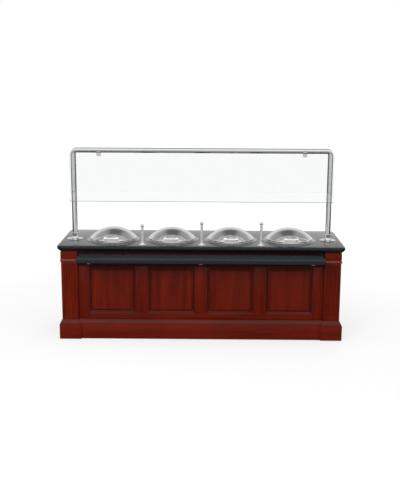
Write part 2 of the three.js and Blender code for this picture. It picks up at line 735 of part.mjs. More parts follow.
function plinth() {
  const farX = BODY_HALF_LENGTH + PLINTH_PROJECTION;
  const farY = BODY_HALF_DEPTH + PLINTH_PROJECTION;
  const nearX = farX - PLINTH_BLOCK_STEP;
  const nearY = farY - PLINTH_BLOCK_STEP;
  const blockX = farX - PLINTH_BLOCK_WIDTH;
  const blockY = farY - PLINTH_BLOCK_WIDTH + (PILASTER_WIDTH - PILASTER_DEPTH);
  const quarter = [[farX, blockY], [farX, farY], [blockX, farY], [blockX, nearY]];
  const turned = quarter.map(([x, y]) => [-x, y]).reverse();
  const upper = [[nearX, blockY], ...quarter, ...turned, [-nearX, blockY]];
  const lower = upper.map(([x, y]) => [-x, -y]);
  const outline = [...upper, ...lower].map(([x, y]) => new THREE.Vector2(x, y));
  return moulded(outline, [
    [PLINTH_THICKNESS, PLINTH_TOP],
    [24, PLINTH_TOP],
    [22, PLINTH_TOP - 4],
    [16, PLINTH_TOP - 15],
    [9, PLINTH_TOP - 28],
    [4, PLINTH_BOARD_TOP + 8],
    [3, PLINTH_BOARD_TOP + 3],
    [0, PLINTH_BOARD_TOP],
    [0, PLINTH_BOTTOM],
    [PLINTH_THICKNESS, PLINTH_BOTTOM],
  ], true);
}

// Inside boards: shelf and partition are halved into each other

const INNER_X = SIDE_FACE - FRAME_THICKNESS - FIT;
const INNER_Y = FRONT_FACE - FRAME_THICKNESS - FIT;

function crossOutline() {
  const x = BODY_HALF_LENGTH - PILASTER_WIDTH - FIT;
  const y = BODY_HALF_DEPTH - PILASTER_DEPTH - FIT;
  return shapeOf([
    [-x, -INNER_Y], [x, -INNER_Y], [x, -y], [INNER_X, -y], [INNER_X, y], [x, y],
    [x, INNER_Y], [-x, INNER_Y], [-x, y], [-INNER_X, y], [-INNER_X, -y], [-x, -y],
  ]);
}

function boardAt(height) {
  return new THREE.ExtrudeGeometry(crossOutline(), { depth: BOARD_THICKNESS, bevelEnabled: false })
    .translate(0, 0, height);
}

function addBoards() {
  const half = BOARD_THICKNESS / 2;
  const deckBottom = DECK_BOTTOM + FIT;
  const deckTop = deckBottom + BOARD_THICKNESS;
  piece('floor_deck', 'innerWood', boardAt(deckBottom));
  const shelfNotch = block(
    [-half - FIT, half + FIT],
    [-INNER_Y - 1, FIT],
    [SHELF_HEIGHT - 1, SHELF_HEIGHT + BOARD_THICKNESS + 1],
  );
  piece('storage_shelf', 'innerWood', cut(boardAt(SHELF_HEIGHT), shelfNotch));
  const wall = block([-half, half], [-INNER_Y, INNER_Y], [deckTop + FIT, FRAME_TOP]);
  const wallNotch = block(
    [-half - 1, half + 1],
    [0, INNER_Y + 1],
    [SHELF_HEIGHT - FIT, SHELF_HEIGHT + BOARD_THICKNESS + FIT],
  );
  const controlNotch = block(
    [-half - 1, half + 1],
    [FRONT_FACE - CONTROL_BOX_DEPTH - FIT, INNER_Y + 1],
    [CONTROL_BOTTOM - FIT, CONTROL_TOP + FIT],
  );
  piece('centre_partition', 'innerWood', cut(wall, wallNotch, controlNotch));
}

// Chassis: welded square tube, open at the rails' ends, with a plate and a headed kingpin over each caster

const KINGPIN_RADIUS = 7;
const KINGPIN_HEAD_RADIUS = 11;
const KINGPIN_HEAD_HEIGHT = 6;
const PLATE_THICKNESS = 6;
const PLATE_HALF_LENGTH = 55;
const PLATE_HALF_WIDTH = 50;
const FORK_TOP = CHASSIS_BOTTOM - PLATE_THICKNESS - 3;
const FORK_CROWN = 8;
const RUNNING_GAP = 1;

function casterMount(x, y) {
  const plate = block(
    [x - PLATE_HALF_LENGTH, x + PLATE_HALF_LENGTH],
    [y - PLATE_HALF_WIDTH, y + PLATE_HALF_WIDTH],
    [CHASSIS_BOTTOM - PLATE_THICKNESS, CHASSIS_BOTTOM + 1],
  );
  const headTop = FORK_TOP - FORK_CROWN - RUNNING_GAP;
  const head = bar('z', KINGPIN_HEAD_RADIUS, headTop - KINGPIN_HEAD_HEIGHT, headTop);
  const pin = bar('z', KINGPIN_RADIUS, headTop - 1, CHASSIS_BOTTOM);
  return [plate, head.translate(x, y, 0), pin.translate(x, y, 0)];
}

function chassis() {
  const halfX = BODY_HALF_LENGTH + PLINTH_PROJECTION - PLINTH_BLOCK_STEP - PLINTH_THICKNESS - FIT;
  const halfY = BODY_HALF_DEPTH + PLINTH_PROJECTION - PLINTH_BLOCK_STEP - PLINTH_THICKNESS - FIT;
  const endX = halfX - CHASSIS_TUBE / 2;
  const innerX = CASTER_X - CHASSIS_TUBE;
  const tubes = (inset, railHalf) => {
    const levels = [CHASSIS_BOTTOM + inset, CHASSIS_BOTTOM + CHASSIS_TUBE - inset];
    const rails = [-1, 1].map((sign) => block(
      [-railHalf, railHalf],
      [sign * (halfY - inset), sign * (halfY - CHASSIS_TUBE + inset)],
      levels,
    ));
    const crosses = [-endX, -innerX, 0, innerX, endX].map((x) => block(
      [x - CHASSIS_TUBE / 2 + inset, x + CHASSIS_TUBE / 2 - inset],
      [-halfY + WELD_LAP, halfY - WELD_LAP],
      levels,
    ));
    return join(...rails, ...crosses);
  };
  const mounts = [];
  for (const x of [-CASTER_X, CASTER_X]) {
    for (const y of [-CASTER_Y, CASTER_Y]) mounts.push(...casterMount(x, y));
  }
  return join(cut(tubes(0, halfX), tubes(CHASSIS_WALL, halfX + 1)), ...mounts);
}

// Casters: a bent fork that turns on the kingpin, and a tyred wheel on its axle

const FORK_CHEEK = 4;
const FORK_INNER = WHEEL_WIDTH / 2 + 3;
const FORK_TIP_RADIUS = 14;
const CROWN_FRONT = -26;
const CROWN_BACK = 28;
const HUB_RADIUS = 37;

function casterFork() {
  const cheek = new THREE.Shape();
  cheek.moveTo(CROWN_FRONT, FORK_TOP - FORK_CROWN - 1);
  cheek.lineTo(CASTER_TRAIL - FORK_TIP_RADIUS, WHEEL_RADIUS);
  cheek.absarc(CASTER_TRAIL, WHEEL_RADIUS, FORK_TIP_RADIUS, Math.PI, 2 * Math.PI, false);
  cheek.lineTo(CASTER_TRAIL + FORK_TIP_RADIUS, FORK_TOP - 20);
  cheek.lineTo(CROWN_BACK, FORK_TOP);
  cheek.lineTo(CROWN_FRONT, FORK_TOP);
  const cheeks = [-1, 1].map((sign) => {
    const inner = sign * FORK_INNER;
    const outer = sign * (FORK_INNER + FORK_CHEEK);
    return sideProfile(cheek, Math.min(inner, outer), Math.max(inner, outer));
  });
  const reach = FORK_INNER + FORK_CHEEK;
  const crown = block([-reach, reach], [CROWN_FRONT, CROWN_BACK], [FORK_TOP - FORK_CROWN, FORK_TOP]);
  const axle = bar('x', AXLE_RADIUS, -reach - 3, reach + 3).translate(0, CASTER_TRAIL, WHEEL_RADIUS);
  const bore = boreCutter('z', KINGPIN_RADIUS, 0, FORK_TOP + 1);
  return join(...cheeks, axle, cut(crown, bore));
}

// The wheel stands on a flat of its polygon, so its corners lie outside the round tyre
function casterWheel() {
  const half = WHEEL_WIDTH / 2;
  const bore = AXLE_RADIUS + 2 * FIT;
  const tread = WHEEL_RADIUS / Math.cos(Math.PI / WHEEL_SEGMENTS);
  return revolve([
    [bore, -half],
    [HUB_RADIUS, -half + 4],
    [tread - 2, -half + 3],
    [tread, -half + 7],
    [tread, half - 7],
    [tread - 2, half - 3],
    [HUB_RADIUS, half - 4],
    [bore, half],
    [bore, -half],
  ], WHEEL_SEGMENTS).rotateZ(Math.PI / WHEEL_SEGMENTS).rotateY(Math.PI / 2);
}

function addCasters() {
  piece('under_frame', 'chassis', chassis());
  for (const [nameX, x] of [['left', -CASTER_X], ['right', CASTER_X]]) {
    for (const [nameY, y] of [['front', -CASTER_Y], ['rear', CASTER_Y]]) {
      piece(`caster_fork_${nameY}_${nameX}`, 'steel', casterFork()).position.set(x, y, 0);
      const wheel = piece(`caster_wheel_${nameY}_${nameX}`, 'rubber', casterWheel());
      wheel.position.set(x, y + CASTER_TRAIL, WHEEL_RADIUS);
    }
  }
}

// Tray slide: a slab on three arms that turn on a hinge rail

const ARM_TOP = TRAY_TOP - TRAY_THICKNESS - FIT;
const TRAY_PIN_RADIUS = 5;
const ARM_KNUCKLE = 11;
const ARM_FRONT = TRAY_FRONT + 26;
const ARM_NOSE = 12;

function traySlab() {
  const outline = roundedRectangle(TRAY_LENGTH / 2, (TRAY_BACK - TRAY_FRONT) / 2, TRAY_CORNER_RADIUS, 2);
  return moulded(outline, [
    [7, TRAY_TOP],
    [2, TRAY_TOP - 2],
    [0, TRAY_TOP - 7],
    [0, TRAY_TOP - TRAY_THICKNESS + 7],
    [2, TRAY_TOP - TRAY_THICKNESS + 2],
    [7, TRAY_TOP - TRAY_THICKNESS],
  ]).translate(0, (TRAY_BACK + TRAY_FRONT) / 2, 0);
}

function trayArm() {
  const shape = new THREE.Shape();
  shape.moveTo(TRAY_BACK - 6, ARM_TOP);
  shape.lineTo(ARM_FRONT, ARM_TOP);
  shape.lineTo(ARM_FRONT, ARM_TOP - ARM_NOSE);
  shape.quadraticCurveTo(
    ARM_FRONT + 94,
    ARM_TOP - ARM_NOSE - 6,
    TRAY_HINGE_Y - 24,
    TRAY_HINGE_HEIGHT - ARM_KNUCKLE + 3,
  );
  shape.lineTo(TRAY_HINGE_Y, TRAY_HINGE_HEIGHT - ARM_KNUCKLE);
  shape.absarc(TRAY_HINGE_Y, TRAY_HINGE_HEIGHT, ARM_KNUCKLE, -Math.PI / 2, 0, false);
  const half = TRAY_ARM_WIDTH / 2;
  const bore = boreCutter('x', TRAY_PIN_RADIUS, -half - 1, half + 1)
    .translate(0, TRAY_HINGE_Y, TRAY_HINGE_HEIGHT);
  return cut(sideProfile(shape, -half, half), bore);
}

const RAIL_THICKNESS = 6;
const RAIL_HALF_HEIGHT = 26;
const RAIL_EAR = 6;
const RAIL_OVERHANG = 60;
const RAIL_EAR_FOOT = 20;

function trayHingeRail() {
  const back = -FRONT_FACE - FIT;
  const rail = block(
    [-TRAY_ARM_X - RAIL_OVERHANG, TRAY_ARM_X + RAIL_OVERHANG],
    [back, back - RAIL_THICKNESS],
    [TRAY_HINGE_HEIGHT - RAIL_HALF_HEIGHT, TRAY_HINGE_HEIGHT + RAIL_HALF_HEIGHT],
  );
  const ear = new THREE.Shape();
  ear.moveTo(back - 1, TRAY_HINGE_HEIGHT - RAIL_EAR_FOOT);
  ear.lineTo(back - 1, TRAY_HINGE_HEIGHT + RAIL_EAR_FOOT);
  ear.lineTo(TRAY_HINGE_Y, TRAY_HINGE_HEIGHT + ARM_KNUCKLE);
  ear.absarc(TRAY_HINGE_Y, TRAY_HINGE_HEIGHT, ARM_KNUCKLE, Math.PI / 2, (3 * Math.PI) / 2, false);
  const inner = TRAY_ARM_WIDTH / 2 + 1;
  const outer = inner + RAIL_EAR;
  const pieces = [rail];
  for (const x of [-TRAY_ARM_X, 0, TRAY_ARM_X]) {
    const pin = bar('x', TRAY_PIN_RADIUS, x - outer - 2, x + outer + 2);
    pieces.push(sideProfile(ear, x - outer, x - inner, 3), sideProfile(ear, x + inner, x + outer, 3));
    pieces.push(pin.translate(0, TRAY_HINGE_Y, TRAY_HINGE_HEIGHT));
  }
  return join(...pieces);
}

function addTray() {
  piece('tray_slab', 'tray', traySlab());
  for (const [name, x] of [['left', -TRAY_ARM_X], ['centre', 0], ['right', TRAY_ARM_X]]) {
    piece(`tray_arm_${name}`, 'chrome', trayArm()).position.x = x;
  }
  piece('tray_hinge_rail', 'steel', trayHingeRail());
}

// Controls: a folded steel tray in the rear frame, open inward, a knob for each well and the mains inlet

const INLET_X = 985;
const INLET_WIDTH = 48;
const INLET_HEIGHT = 40;
const INLET_DEPTH = 30;
const INLET_LAP = 5;
const MOUTH_HALF_WIDTH = 15;
const MOUTH_HALF_HEIGHT = 11;
const MOUTH_DEPTH = 12;
const BLADE_PITCH = 8;
const BLADE_HALF_THICKNESS = 1.2;
const BLADE_HALF_HEIGHT = 3;
const SPINDLE_RADIUS = 4;
const SPINDLE_LENGTH = 14;
const FASCIA_LAP = 14;
const FASCIA_THICKNESS = 2;
const CONTROL_WALL = 3;

function controlBox() {
  const fascia = FRONT_FACE + FIT;
  const box = block(
    [-CONTROL_HALF_LENGTH + FIT, CONTROL_HALF_LENGTH - FIT],
    [FRONT_FACE - CONTROL_BOX_DEPTH, fascia],
    [CONTROL_BOTTOM + FIT, CONTROL_TOP - FIT],
  );
  const hollow = block(
    [-CONTROL_HALF_LENGTH + CONTROL_WALL, CONTROL_HALF_LENGTH - CONTROL_WALL],
    [FRONT_FACE - CONTROL_BOX_DEPTH - 1, fascia - CONTROL_WALL],
    [CONTROL_BOTTOM + CONTROL_WALL, CONTROL_TOP - CONTROL_WALL],
  );
  const lip = block(
    [-CONTROL_HALF_LENGTH - FASCIA_LAP, CONTROL_HALF_LENGTH + FASCIA_LAP],
    [fascia, fascia + FASCIA_THICKNESS],
    [CONTROL_BOTTOM - FASCIA_LAP, CONTROL_TOP + FASCIA_LAP],
  );
  const middle = (CONTROL_BOTTOM + CONTROL_TOP) / 2;
  const spindle = bar('y', SPINDLE_RADIUS, fascia - 2, fascia + SPINDLE_LENGTH);
  const spindles = wellCentres().map((x) => spindle.clone().translate(x, 0, middle));
  const inletHole = block(
    [INLET_X - INLET_WIDTH / 2 - FIT, INLET_X + INLET_WIDTH / 2 + FIT],
    [fascia - INLET_DEPTH - 4, fascia + 3],
    [middle - INLET_HEIGHT / 2 - FIT, middle + INLET_HEIGHT / 2 + FIT],
  );
  return cut(join(cut(box, hollow), lip, ...spindles), inletHole);
}

function controlKnob() {
  const body = revolve([
    [0, 0],
    [KNOB_RADIUS, 0],
    [KNOB_RADIUS, 5],
    [KNOB_RADIUS - 5, 8],
    [KNOB_RADIUS - 7, KNOB_LENGTH],
    [0, KNOB_LENGTH],
  ], 12);
  const pointer = block([-2.5, 2.5], [4, KNOB_RADIUS - 2], [6, KNOB_LENGTH + 2]);
  const socket = boreCutter('z', SPINDLE_RADIUS, -1, SPINDLE_LENGTH);
  return cut(join(body, pointer), socket).rotateX(-Math.PI / 2);
}

function powerInlet() {
  const halfWidth = INLET_WIDTH / 2;
  const halfHeight = INLET_HEIGHT / 2;
  const body = block([-halfWidth, halfWidth], [-INLET_DEPTH, 1], [-halfHeight, halfHeight]);
  const flange = block(
    [-halfWidth - INLET_LAP, halfWidth + INLET_LAP],
    [FIT, 5],
    [-halfHeight - INLET_LAP, halfHeight + INLET_LAP],
  );
  const mouth = block(
    [-MOUTH_HALF_WIDTH, MOUTH_HALF_WIDTH],
    [-MOUTH_DEPTH, 6],
    [-MOUTH_HALF_HEIGHT, MOUTH_HALF_HEIGHT],
  );
  const blades = [-BLADE_PITCH, 0, BLADE_PITCH].map((x) => block(
    [x - BLADE_HALF_THICKNESS, x + BLADE_HALF_THICKNESS],
    [-MOUTH_DEPTH - 1, -1],
    [-BLADE_HALF_HEIGHT, BLADE_HALF_HEIGHT],
  ));
  return join(cut(join(body, flange), mouth), ...blades);
}

function addControls() {
  const middle = (CONTROL_BOTTOM + CONTROL_TOP) / 2;
  const fascia = FRONT_FACE + FIT + FASCIA_THICKNESS;
  piece('control_panel', 'steel', controlBox());
  wellCentres().forEach((x, i) => {
    piece(`control_knob_${i + 1}`, 'knob', controlKnob()).position.set(x, fascia + FIT, middle);
  });
  piece('power_inlet', 'knob', powerInlet()).position.set(INLET_X, fascia, middle);
}

// Stone top and what stands on it

function addTop() {
  piece('countertop', 'stone', stoneTop());
  wellCentres().forEach((x, i) => {
    piece(`well_${i + 1}`, 'steel', wellPan()).position.set(x, WELL_CENTRE_Y, 0);
    piece(`lid_${i + 1}`, 'chrome', lidShell()).position.set(x, WELL_CENTRE_Y, 0);
    piece(`lid_handle_${i + 1}`, 'chrome', lidHandle()).position.set(x, WELL_CENTRE_Y, 0);
  });
  POST_HEIGHTS.forEach((height, i) => {
    const x = POST_MIDDLE + (i - (POST_HEIGHTS.length - 1) / 2) * POST_PITCH;
    const post = piece(`utensil_post_${i + 1}`, 'chrome', utensilPost(height));
    post.position.set(x, POST_Y, COUNTER_HEIGHT + FIT);
  });
}

function addGuard() {
  piece('guard_frame', 'chrome', guardTube());
  for (const [name, sign] of [['left', -1], ['right', 1]]) {
    const flange = piece(`guard_flange_${name}`, 'chrome', guardFlange());
    flange.position.set(sign * GUARD_HALF_LENGTH, GUARD_Y, COUNTER_HEIGHT + FIT);
    piece(`glass_clip_${name}`, 'chrome', glassClip()).position.x = sign * CLIP_X;
  }
  piece('guard_glass', 'glass', guardGlass());
}

addCasters();
piece('plinth', 'wood', plinth());
addBoards();
addFraming();
addControls();
addTop();
addGuard();
addTray();

// The origin lies on the floor under the middle of the whole, tray slide included
cart.position.y = -(TRAY_FRONT + COUNTER_DEPTH / 2) / 2;

const group = new THREE.Group();
group.add(cart);

export default group;
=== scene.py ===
# A panelled serving counter on hidden casters: stone top, four covered wells, a glass guard and a tray slide.
# Metres, +Z up. Guests stand on the -Y side and the operator on the +Y side.
import json
import math
import random

import bmesh
import bpy
from bpy.props import FloatProperty, FloatVectorProperty, IntProperty, PointerProperty
from mathutils import Matrix, Vector


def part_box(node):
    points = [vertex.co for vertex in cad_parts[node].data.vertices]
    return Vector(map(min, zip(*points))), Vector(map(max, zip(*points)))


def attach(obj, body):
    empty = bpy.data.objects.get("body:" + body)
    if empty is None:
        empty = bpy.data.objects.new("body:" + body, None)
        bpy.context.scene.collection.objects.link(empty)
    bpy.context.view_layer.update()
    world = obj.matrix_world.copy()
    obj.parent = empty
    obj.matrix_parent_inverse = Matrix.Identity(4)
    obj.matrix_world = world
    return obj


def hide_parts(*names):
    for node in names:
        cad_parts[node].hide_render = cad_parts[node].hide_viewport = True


bl_info = {
    "name": "Serving Counter Dressing",
    "version": (1, 0, 0),
    "blender": (4, 5, 0),
    "location": "3D View > Sidebar > Counter",
    "description": "Dresses a serving counter's frame with its finished pieces",
    "category": "Object",
}

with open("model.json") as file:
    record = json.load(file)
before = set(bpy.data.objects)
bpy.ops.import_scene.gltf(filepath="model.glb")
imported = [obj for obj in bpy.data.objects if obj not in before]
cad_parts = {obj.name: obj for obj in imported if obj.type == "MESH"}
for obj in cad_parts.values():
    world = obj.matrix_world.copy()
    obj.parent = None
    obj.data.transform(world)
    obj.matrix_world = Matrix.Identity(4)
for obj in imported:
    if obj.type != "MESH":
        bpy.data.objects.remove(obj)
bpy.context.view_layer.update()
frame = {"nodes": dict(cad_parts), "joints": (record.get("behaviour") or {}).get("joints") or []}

WELL_NUMBERS = (1, 2, 3, 4)
PANEL_NUMBERS = (1, 2, 3, 4)
CORNERS = ("front_left", "front_right", "rear_left", "rear_right")

# The air that the frame leaves between pieces that touch
FIT = 0.0003

# How far a cutter runs past what it cuts
OVERRUN = 0.01


def middle_of(node):
    """The middle of a node of the frame"""
    low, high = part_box(node)
    return (low + high) / 2


def joint_place(name):
    """Where a joint of the frame stands"""
    return next(joint["pos_m"] for joint in frame["joints"] if joint["name"] == name)


# Places read from the frame
COUNTER_LOW, COUNTER_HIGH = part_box("countertop")
MIDDLE_Y = (COUNTER_LOW.y + COUNTER_HIGH.y) / 2
TOP_Z = COUNTER_HIGH.z
LID_PIVOT_Y, LID_PIVOT_Z = joint_place("cover_1_hinge")[1:]
TRAY_PIVOT = joint_place("tray_fold")


# Settings

def length(name, description, default):
    """A size that a user can change"""
    return FloatProperty(name=name, description=description, default=default, min=0.0, unit="LENGTH")


def share(name, description, default):
    """A share between nothing and all"""
    return FloatProperty(
        name=name, description=description, default=default, min=0.0, max=1.0, subtype="FACTOR"
    )


def tint(name, description, default):
    """A colour that a user can change"""
    return FloatVectorProperty(
        name=name, description=description, default=default, size=3, min=0.0, max=1.0, subtype="COLOR"
    )


def power(name, description, default):
    """The power of a lamp"""
    return FloatProperty(name=name, description=description, default=default, min=0.0, unit="POWER")


def lean(name, description, degrees):
    """An angle of the camera"""
    return FloatProperty(
        name=name, description=description, default=math.radians(degrees), subtype="ANGLE", unit="ROTATION"
    )


class WoodSettings(bpy.types.PropertyGroup):
    """Sizes, stain and painted shade of the wooden body"""

    stain: tint("Stain", "Colour of the mahogany stain", (0.180, 0.0099, 0.0003))
    # Painted shade: a dark colour painted into the corners of the mouldings, into recesses and under the
    # stone, where shade falls
    glaze: tint("Glaze", "Dark glaze left in the corners of the mouldings", (0.016, 0.0012, 0.0003))
    inner_stain: tint("Inner stain", "Colour of the storage boards", (0.147, 0.042, 0.016))
    lacquer: share("Lacquer gloss", "Specular level of the satin lacquer", 0.3)
    board_edge: length("Board edge", "Rounding along the edges of stiles and rails", 0.0012)
    joint_gap: length("Joint gap", "Open line between two boards of a frame", 0.0004)


class TopSettings(bpy.types.PropertyGroup):
    """Finish of the stone top and the tray slide, and smoothness of the round pieces in it"""

    stone: tint("Stone", "Ground colour of the black stone", (0.006, 0.008, 0.010))
    fleck: tint("Flecks", "Colour of the crystals in the stone", (0.075, 0.085, 0.095))
    tray: tint("Tray slide", "Colour of the cast tray slide", (0.0285, 0.0345, 0.0395))
    well_segments: IntProperty(
        name="Round pieces", description="Number of steps round the wells and lids",
        default=96, min=24, max=192,
    )


class MetalSettings(bpy.types.PropertyGroup):
    """Finish of the metal and glass pieces"""

    chrome: tint("Chrome", "Colour of polished metal", (0.83, 0.83, 0.83))
    steel: tint("Steel", "Colour of brushed steel", (0.45, 0.46, 0.47))
    powder_coat: tint("Powder coat", "Colour of the chassis", (0.022, 0.024, 0.026))
    glass: tint("Glass", "Tint of the glass seen through its faces", (0.955, 0.98, 0.97))
    glass_edge: tint("Glass edge", "Tint of the glass seen at its ground edges", (0.35, 0.62, 0.54))


class StudioSettings(bpy.types.PropertyGroup):
    """Camera and light"""

    camera_place: FloatVectorProperty(
        name="Camera", description="Where the camera stands", default=(0.0539, -7.9273, 2.5634),
        size=3, subtype="TRANSLATION", unit="LENGTH",
    )
    camera_pitch: lean("Pitch", "How far the camera looks down", 11.57)
    camera_yaw: lean("Yaw", "How far the camera looks to the right", -0.48)
    camera_roll: lean("Roll", "How far the camera leans to the left", 0.3)
    camera_lens: FloatProperty(
        name="Lens", description="Focal length on a sensor 36 mm long", default=61.293,
        min=1.0, unit="CAMERA", subtype="DISTANCE_CAMERA",
    )
    key_power: power("Key light", "Power of the large soft light in front", 112.0)
    strip_power: power("Strip light", "Power of the overhead strip", 12.0)
    fill_power: power("Fill light", "Power of the light behind", 70.0)


# Placings of drawings

def placed(u, v, w, origin=(0, 0, 0)):
    """The placing of a drawing whose three axes point along u, v and w"""
    turn = Matrix((Vector(u), Vector(v), Vector(w))).transposed()
    return Matrix.Translation(Vector(origin)) @ turn.to_4x4()


X, Y, Z = Vector((1, 0, 0)), Vector((0, 1, 0)), Vector((0, 0, 1))
FLAT = placed(X, Y, Z)


def side_on(origin=(0, 0, 0)):
    """The placing of a drawing seen from the right end, whose axes are Y, Z and X"""
    return placed(Y, Z, X, origin)


# The sides of the body, each drawn along, up and outward
BODY_AXIS = (0, MIDDLE_Y, 0)
FRONT = placed(X, Z, -Y, BODY_AXIS)
RIGHT = side_on(BODY_AXIS)
REAR = placed(-X, Z, Y, BODY_AXIS)
LEFT = placed(-Y, Z, -X, BODY_AXIS)


# Outlines and profiles

def turns(end, steps):
    """Even turns from 0 to an end, in radians"""
    return [end * step / steps for step in range(steps + 1)]


def arc(centre, radius, start, end, steps):
    """Points on a round stretch between two angles in degrees"""
    points = []
    for step in range(steps + 1):
        angle = math.radians(start + (end - start) * step / steps)
        points.append((centre[0] + radius * math.cos(angle), centre[1] + radius * math.sin(angle)))
    return points


def rectangle(us, vs):
    """The four corners, anticlockwise"""
    return [(us[0], vs[0]), (us[1], vs[0]), (us[1], vs[1]), (us[0], vs[1])]


def rounded(us, vs, radius, steps=2):
    """A rectangle with round corners"""
    centres = (
        (us[1] - radius, vs[0] + radius),
        (us[1] - radius, vs[1] - radius),
        (us[0] + radius, vs[1] - radius),
        (us[0] + radius, vs[0] + radius),
    )
    points = []
    for quarter, centre in enumerate(centres):
        points += arc(centre, radius, 90 * quarter - 90, 90 * quarter, steps)
    return points


def round_the_middle(quarter):
    """A closed outline from its points in the first quarter, mirrored across both axes"""
    upper = quarter + [(-x, y) for x, y in quarter[::-1]]
    return upper + [(-x, -y) for x, y in upper]


def both_sides(half):
    """A profile's first half and its mirror image on the other side of height 0"""
    return half + [(point[0], -point[1], *point[2:]) for point in half[::-1]]


def drawn_in(outline, distance):
    """The anticlockwise outline drawn in by a distance, with mitred corners"""
    normals = []
    for (u0, v0), (u1, v1) in zip(outline, outline[1:] + outline[:1]):
        normals.append(Vector((v1 - v0, u0 - u1)).normalized())
    points = []
    for index, point in enumerate(outline):
        before, after = normals[index - 1], normals[index]
        reach = distance / (1 + before.dot(after))
        points.append(tuple(Vector(point) - (before + after) * reach))
    return points


def quadratic(a, b, c, t):
    """A point on the curve from a to c that leans towards b"""
    a, b, c = Vector(a), Vector(b), Vector(c)
    return tuple(a * (1 - t) ** 2 + b * 2 * t * (1 - t) + c * t ** 2)


def eased(points, steps=4):
    """A line of (a, b, ease) points with each corner rounded over, starting that far from the corner"""
    line = []
    for index, point in enumerate(points):
        here = Vector(point[:2])
        ease = point[2] if len(point) > 2 else 0.0
        if not ease:
            line.append(tuple(here))
            continue
        after = points[(index + 1) % len(points)]
        back = here + (Vector(points[index - 1][:2]) - here).normalized() * ease
        ahead = here + (Vector(after[:2]) - here).normalized() * ease
        line += [quadratic(back, here, ahead, step / steps) for step in range(steps + 1)]
    return line


def through(points, steps=4):
    """A smooth line through the points"""
    knots = [Vector(point) for point in points]
    knots = [2 * knots[0] - knots[1], *knots, 2 * knots[-1] - knots[-2]]
    line = []
    for a, b, c, d in zip(knots, knots[1:], knots[2:], knots[3:]):
        for step in range(steps):
            t = step / steps
            bend = (2 * a - 5 * b + 4 * c - d) * t ** 2 + (3 * b - a - 3 * c + d) * t ** 3
            line.append(tuple((2 * b + (c - a) * t + bend) / 2))
    return line + [tuple(knots[-2])]


# Boards and surfaces

# Chooses the place in the tree that each board is cut from
sawmill = random.Random(11)


class Board:
    """The wood of one board: its grain runs along one direction, from a place of its own in the tree"""

    def __init__(self, along, outward):
        along, outward = Vector(along).normalized(), Vector(outward).normalized()
        self.turn = Matrix((along, outward.cross(along), outward))
        self.start = Vector([sawmill.uniform(0, 8) for _ in range(3)])

    def read(self, point):
        """The place in the grain of a point on the board"""
        return self.turn @ point + self.start


class Shell:
    """The surface of one piece, with a finish and a run of grain for each face, and painted shade for each
    point
    """

    def __init__(self):
        self.points = []
        self.glaze = []
        self.faces = []
        self.finishes = []
        self.grain = []

    def face(self, corners, finish):
        """Adds a face from (index of the point, its place in the grain)"""
        kept = list(dict(reversed(corners)).items())[::-1]
        if len(kept) > 2:
            self.faces.append([index for index, _ in kept])
            self.grain.append([place for _, place in kept])
            self.finishes.append(finish)

    def skin(self, rings, closed=False, finish=0, grain=None, glaze=None):
        """Skins rings of points. A ring of one point is a pole, and an open skin has a face on each end."""
        starts = []
        for index, ring in enumerate(rings):
            starts.append(len(self.points))
            self.points += ring
            self.glaze += [glaze[index] if glaze else 0.0] * len(ring)

        def corner(ring, index, segment):
            on_ring = index % len(rings[ring])
            point = rings[ring][on_ring]
            place = grain(ring, index, segment, point) if grain else point
            return starts[ring] + on_ring, tuple(place)

        bands = [(ring, ring + 1) for ring in range(len(rings) - 1)]
        if closed:
            bands.append((len(rings) - 1, 0))
        for near, far in bands:
            for i in range(max(len(rings[near]), len(rings[far]))):
                corners = ((near, i), (far, i), (far, i + 1), (near, i + 1))
                self.face([corner(ring, index, i) for ring, index in corners], finish)
        if not closed:
            for ring in (0, len(rings) - 1):
                self.face([corner(ring, i, 0) for i in range(len(rings[ring]))], finish)

    def take(self, mesh, place=FLAT, finish=0, board=None):
        """Adds a copy of a mesh"""
        start = len(self.points)
        self.points += [place @ vertex.co for vertex in mesh.vertices]
        self.glaze += [0.0] * len(mesh.vertices)
        for polygon in mesh.polygons:
            points = [self.points[start + index] for index in polygon.vertices]
            self.faces.append([start + index for index in polygon.vertices])
            self.grain.append([tuple(board.read(point) if board else point) for point in points])
            self.finishes.append(finish)

    def join(self, other):
        """Adds the surface of another shell"""
        start = len(self.points)
        self.points += other.points
        self.glaze += other.glaze
        self.faces += [[start + index for index in face] for face in other.faces]
        self.grain += other.grain
        self.finishes += other.finishes

    def mesh(self, name):
        """The shell as a mesh with its faces pointing out"""
        mesh = bpy.data.meshes.new(name)
        mesh.from_pydata(self.points, [], self.faces)
        mesh.polygons.foreach_set("material_index", self.finishes)
        grain = mesh.attributes.new("grain", "FLOAT_VECTOR", "CORNER")
        grain.data.foreach_set("vector", [value for face in self.grain for place in face for value in place])
        glaze = mesh.attributes.new("glaze", "FLOAT", "POINT")
        glaze.data.foreach_set("value", self.glaze)
        work = bmesh.new()
        work.from_mesh(mesh)
        bmesh.ops.remove_doubles(work, verts=work.verts, dist=1e-7)
        bmesh.ops.dissolve_degenerate(work, edges=work.edges, dist=1e-7)
        bmesh.ops.recalc_face_normals(work, faces=work.faces)
        work.to_mesh(mesh)
        work.free()
        return mesh


def swept(shell, outline, profile, place, closed=False, finish=0, boards=None):
    """Runs (inset, height) or (inset, height, painted shade) points round an outline, in one board or one a
    side
    """
    rings = []
    for step in profile:
        rings.append([place @ Vector((u, v, step[1])) for u, v in drawn_in(outline, step[0])])
    glaze = [step[2] if len(step) > 2 else 0.0 for step in profile]

    def grain(ring, index, segment, point):
        board = boards if isinstance(boards, Board) else boards[segment]
        return board.read(point)

    shell.skin(rings, closed, finish, grain if boards else None, glaze)


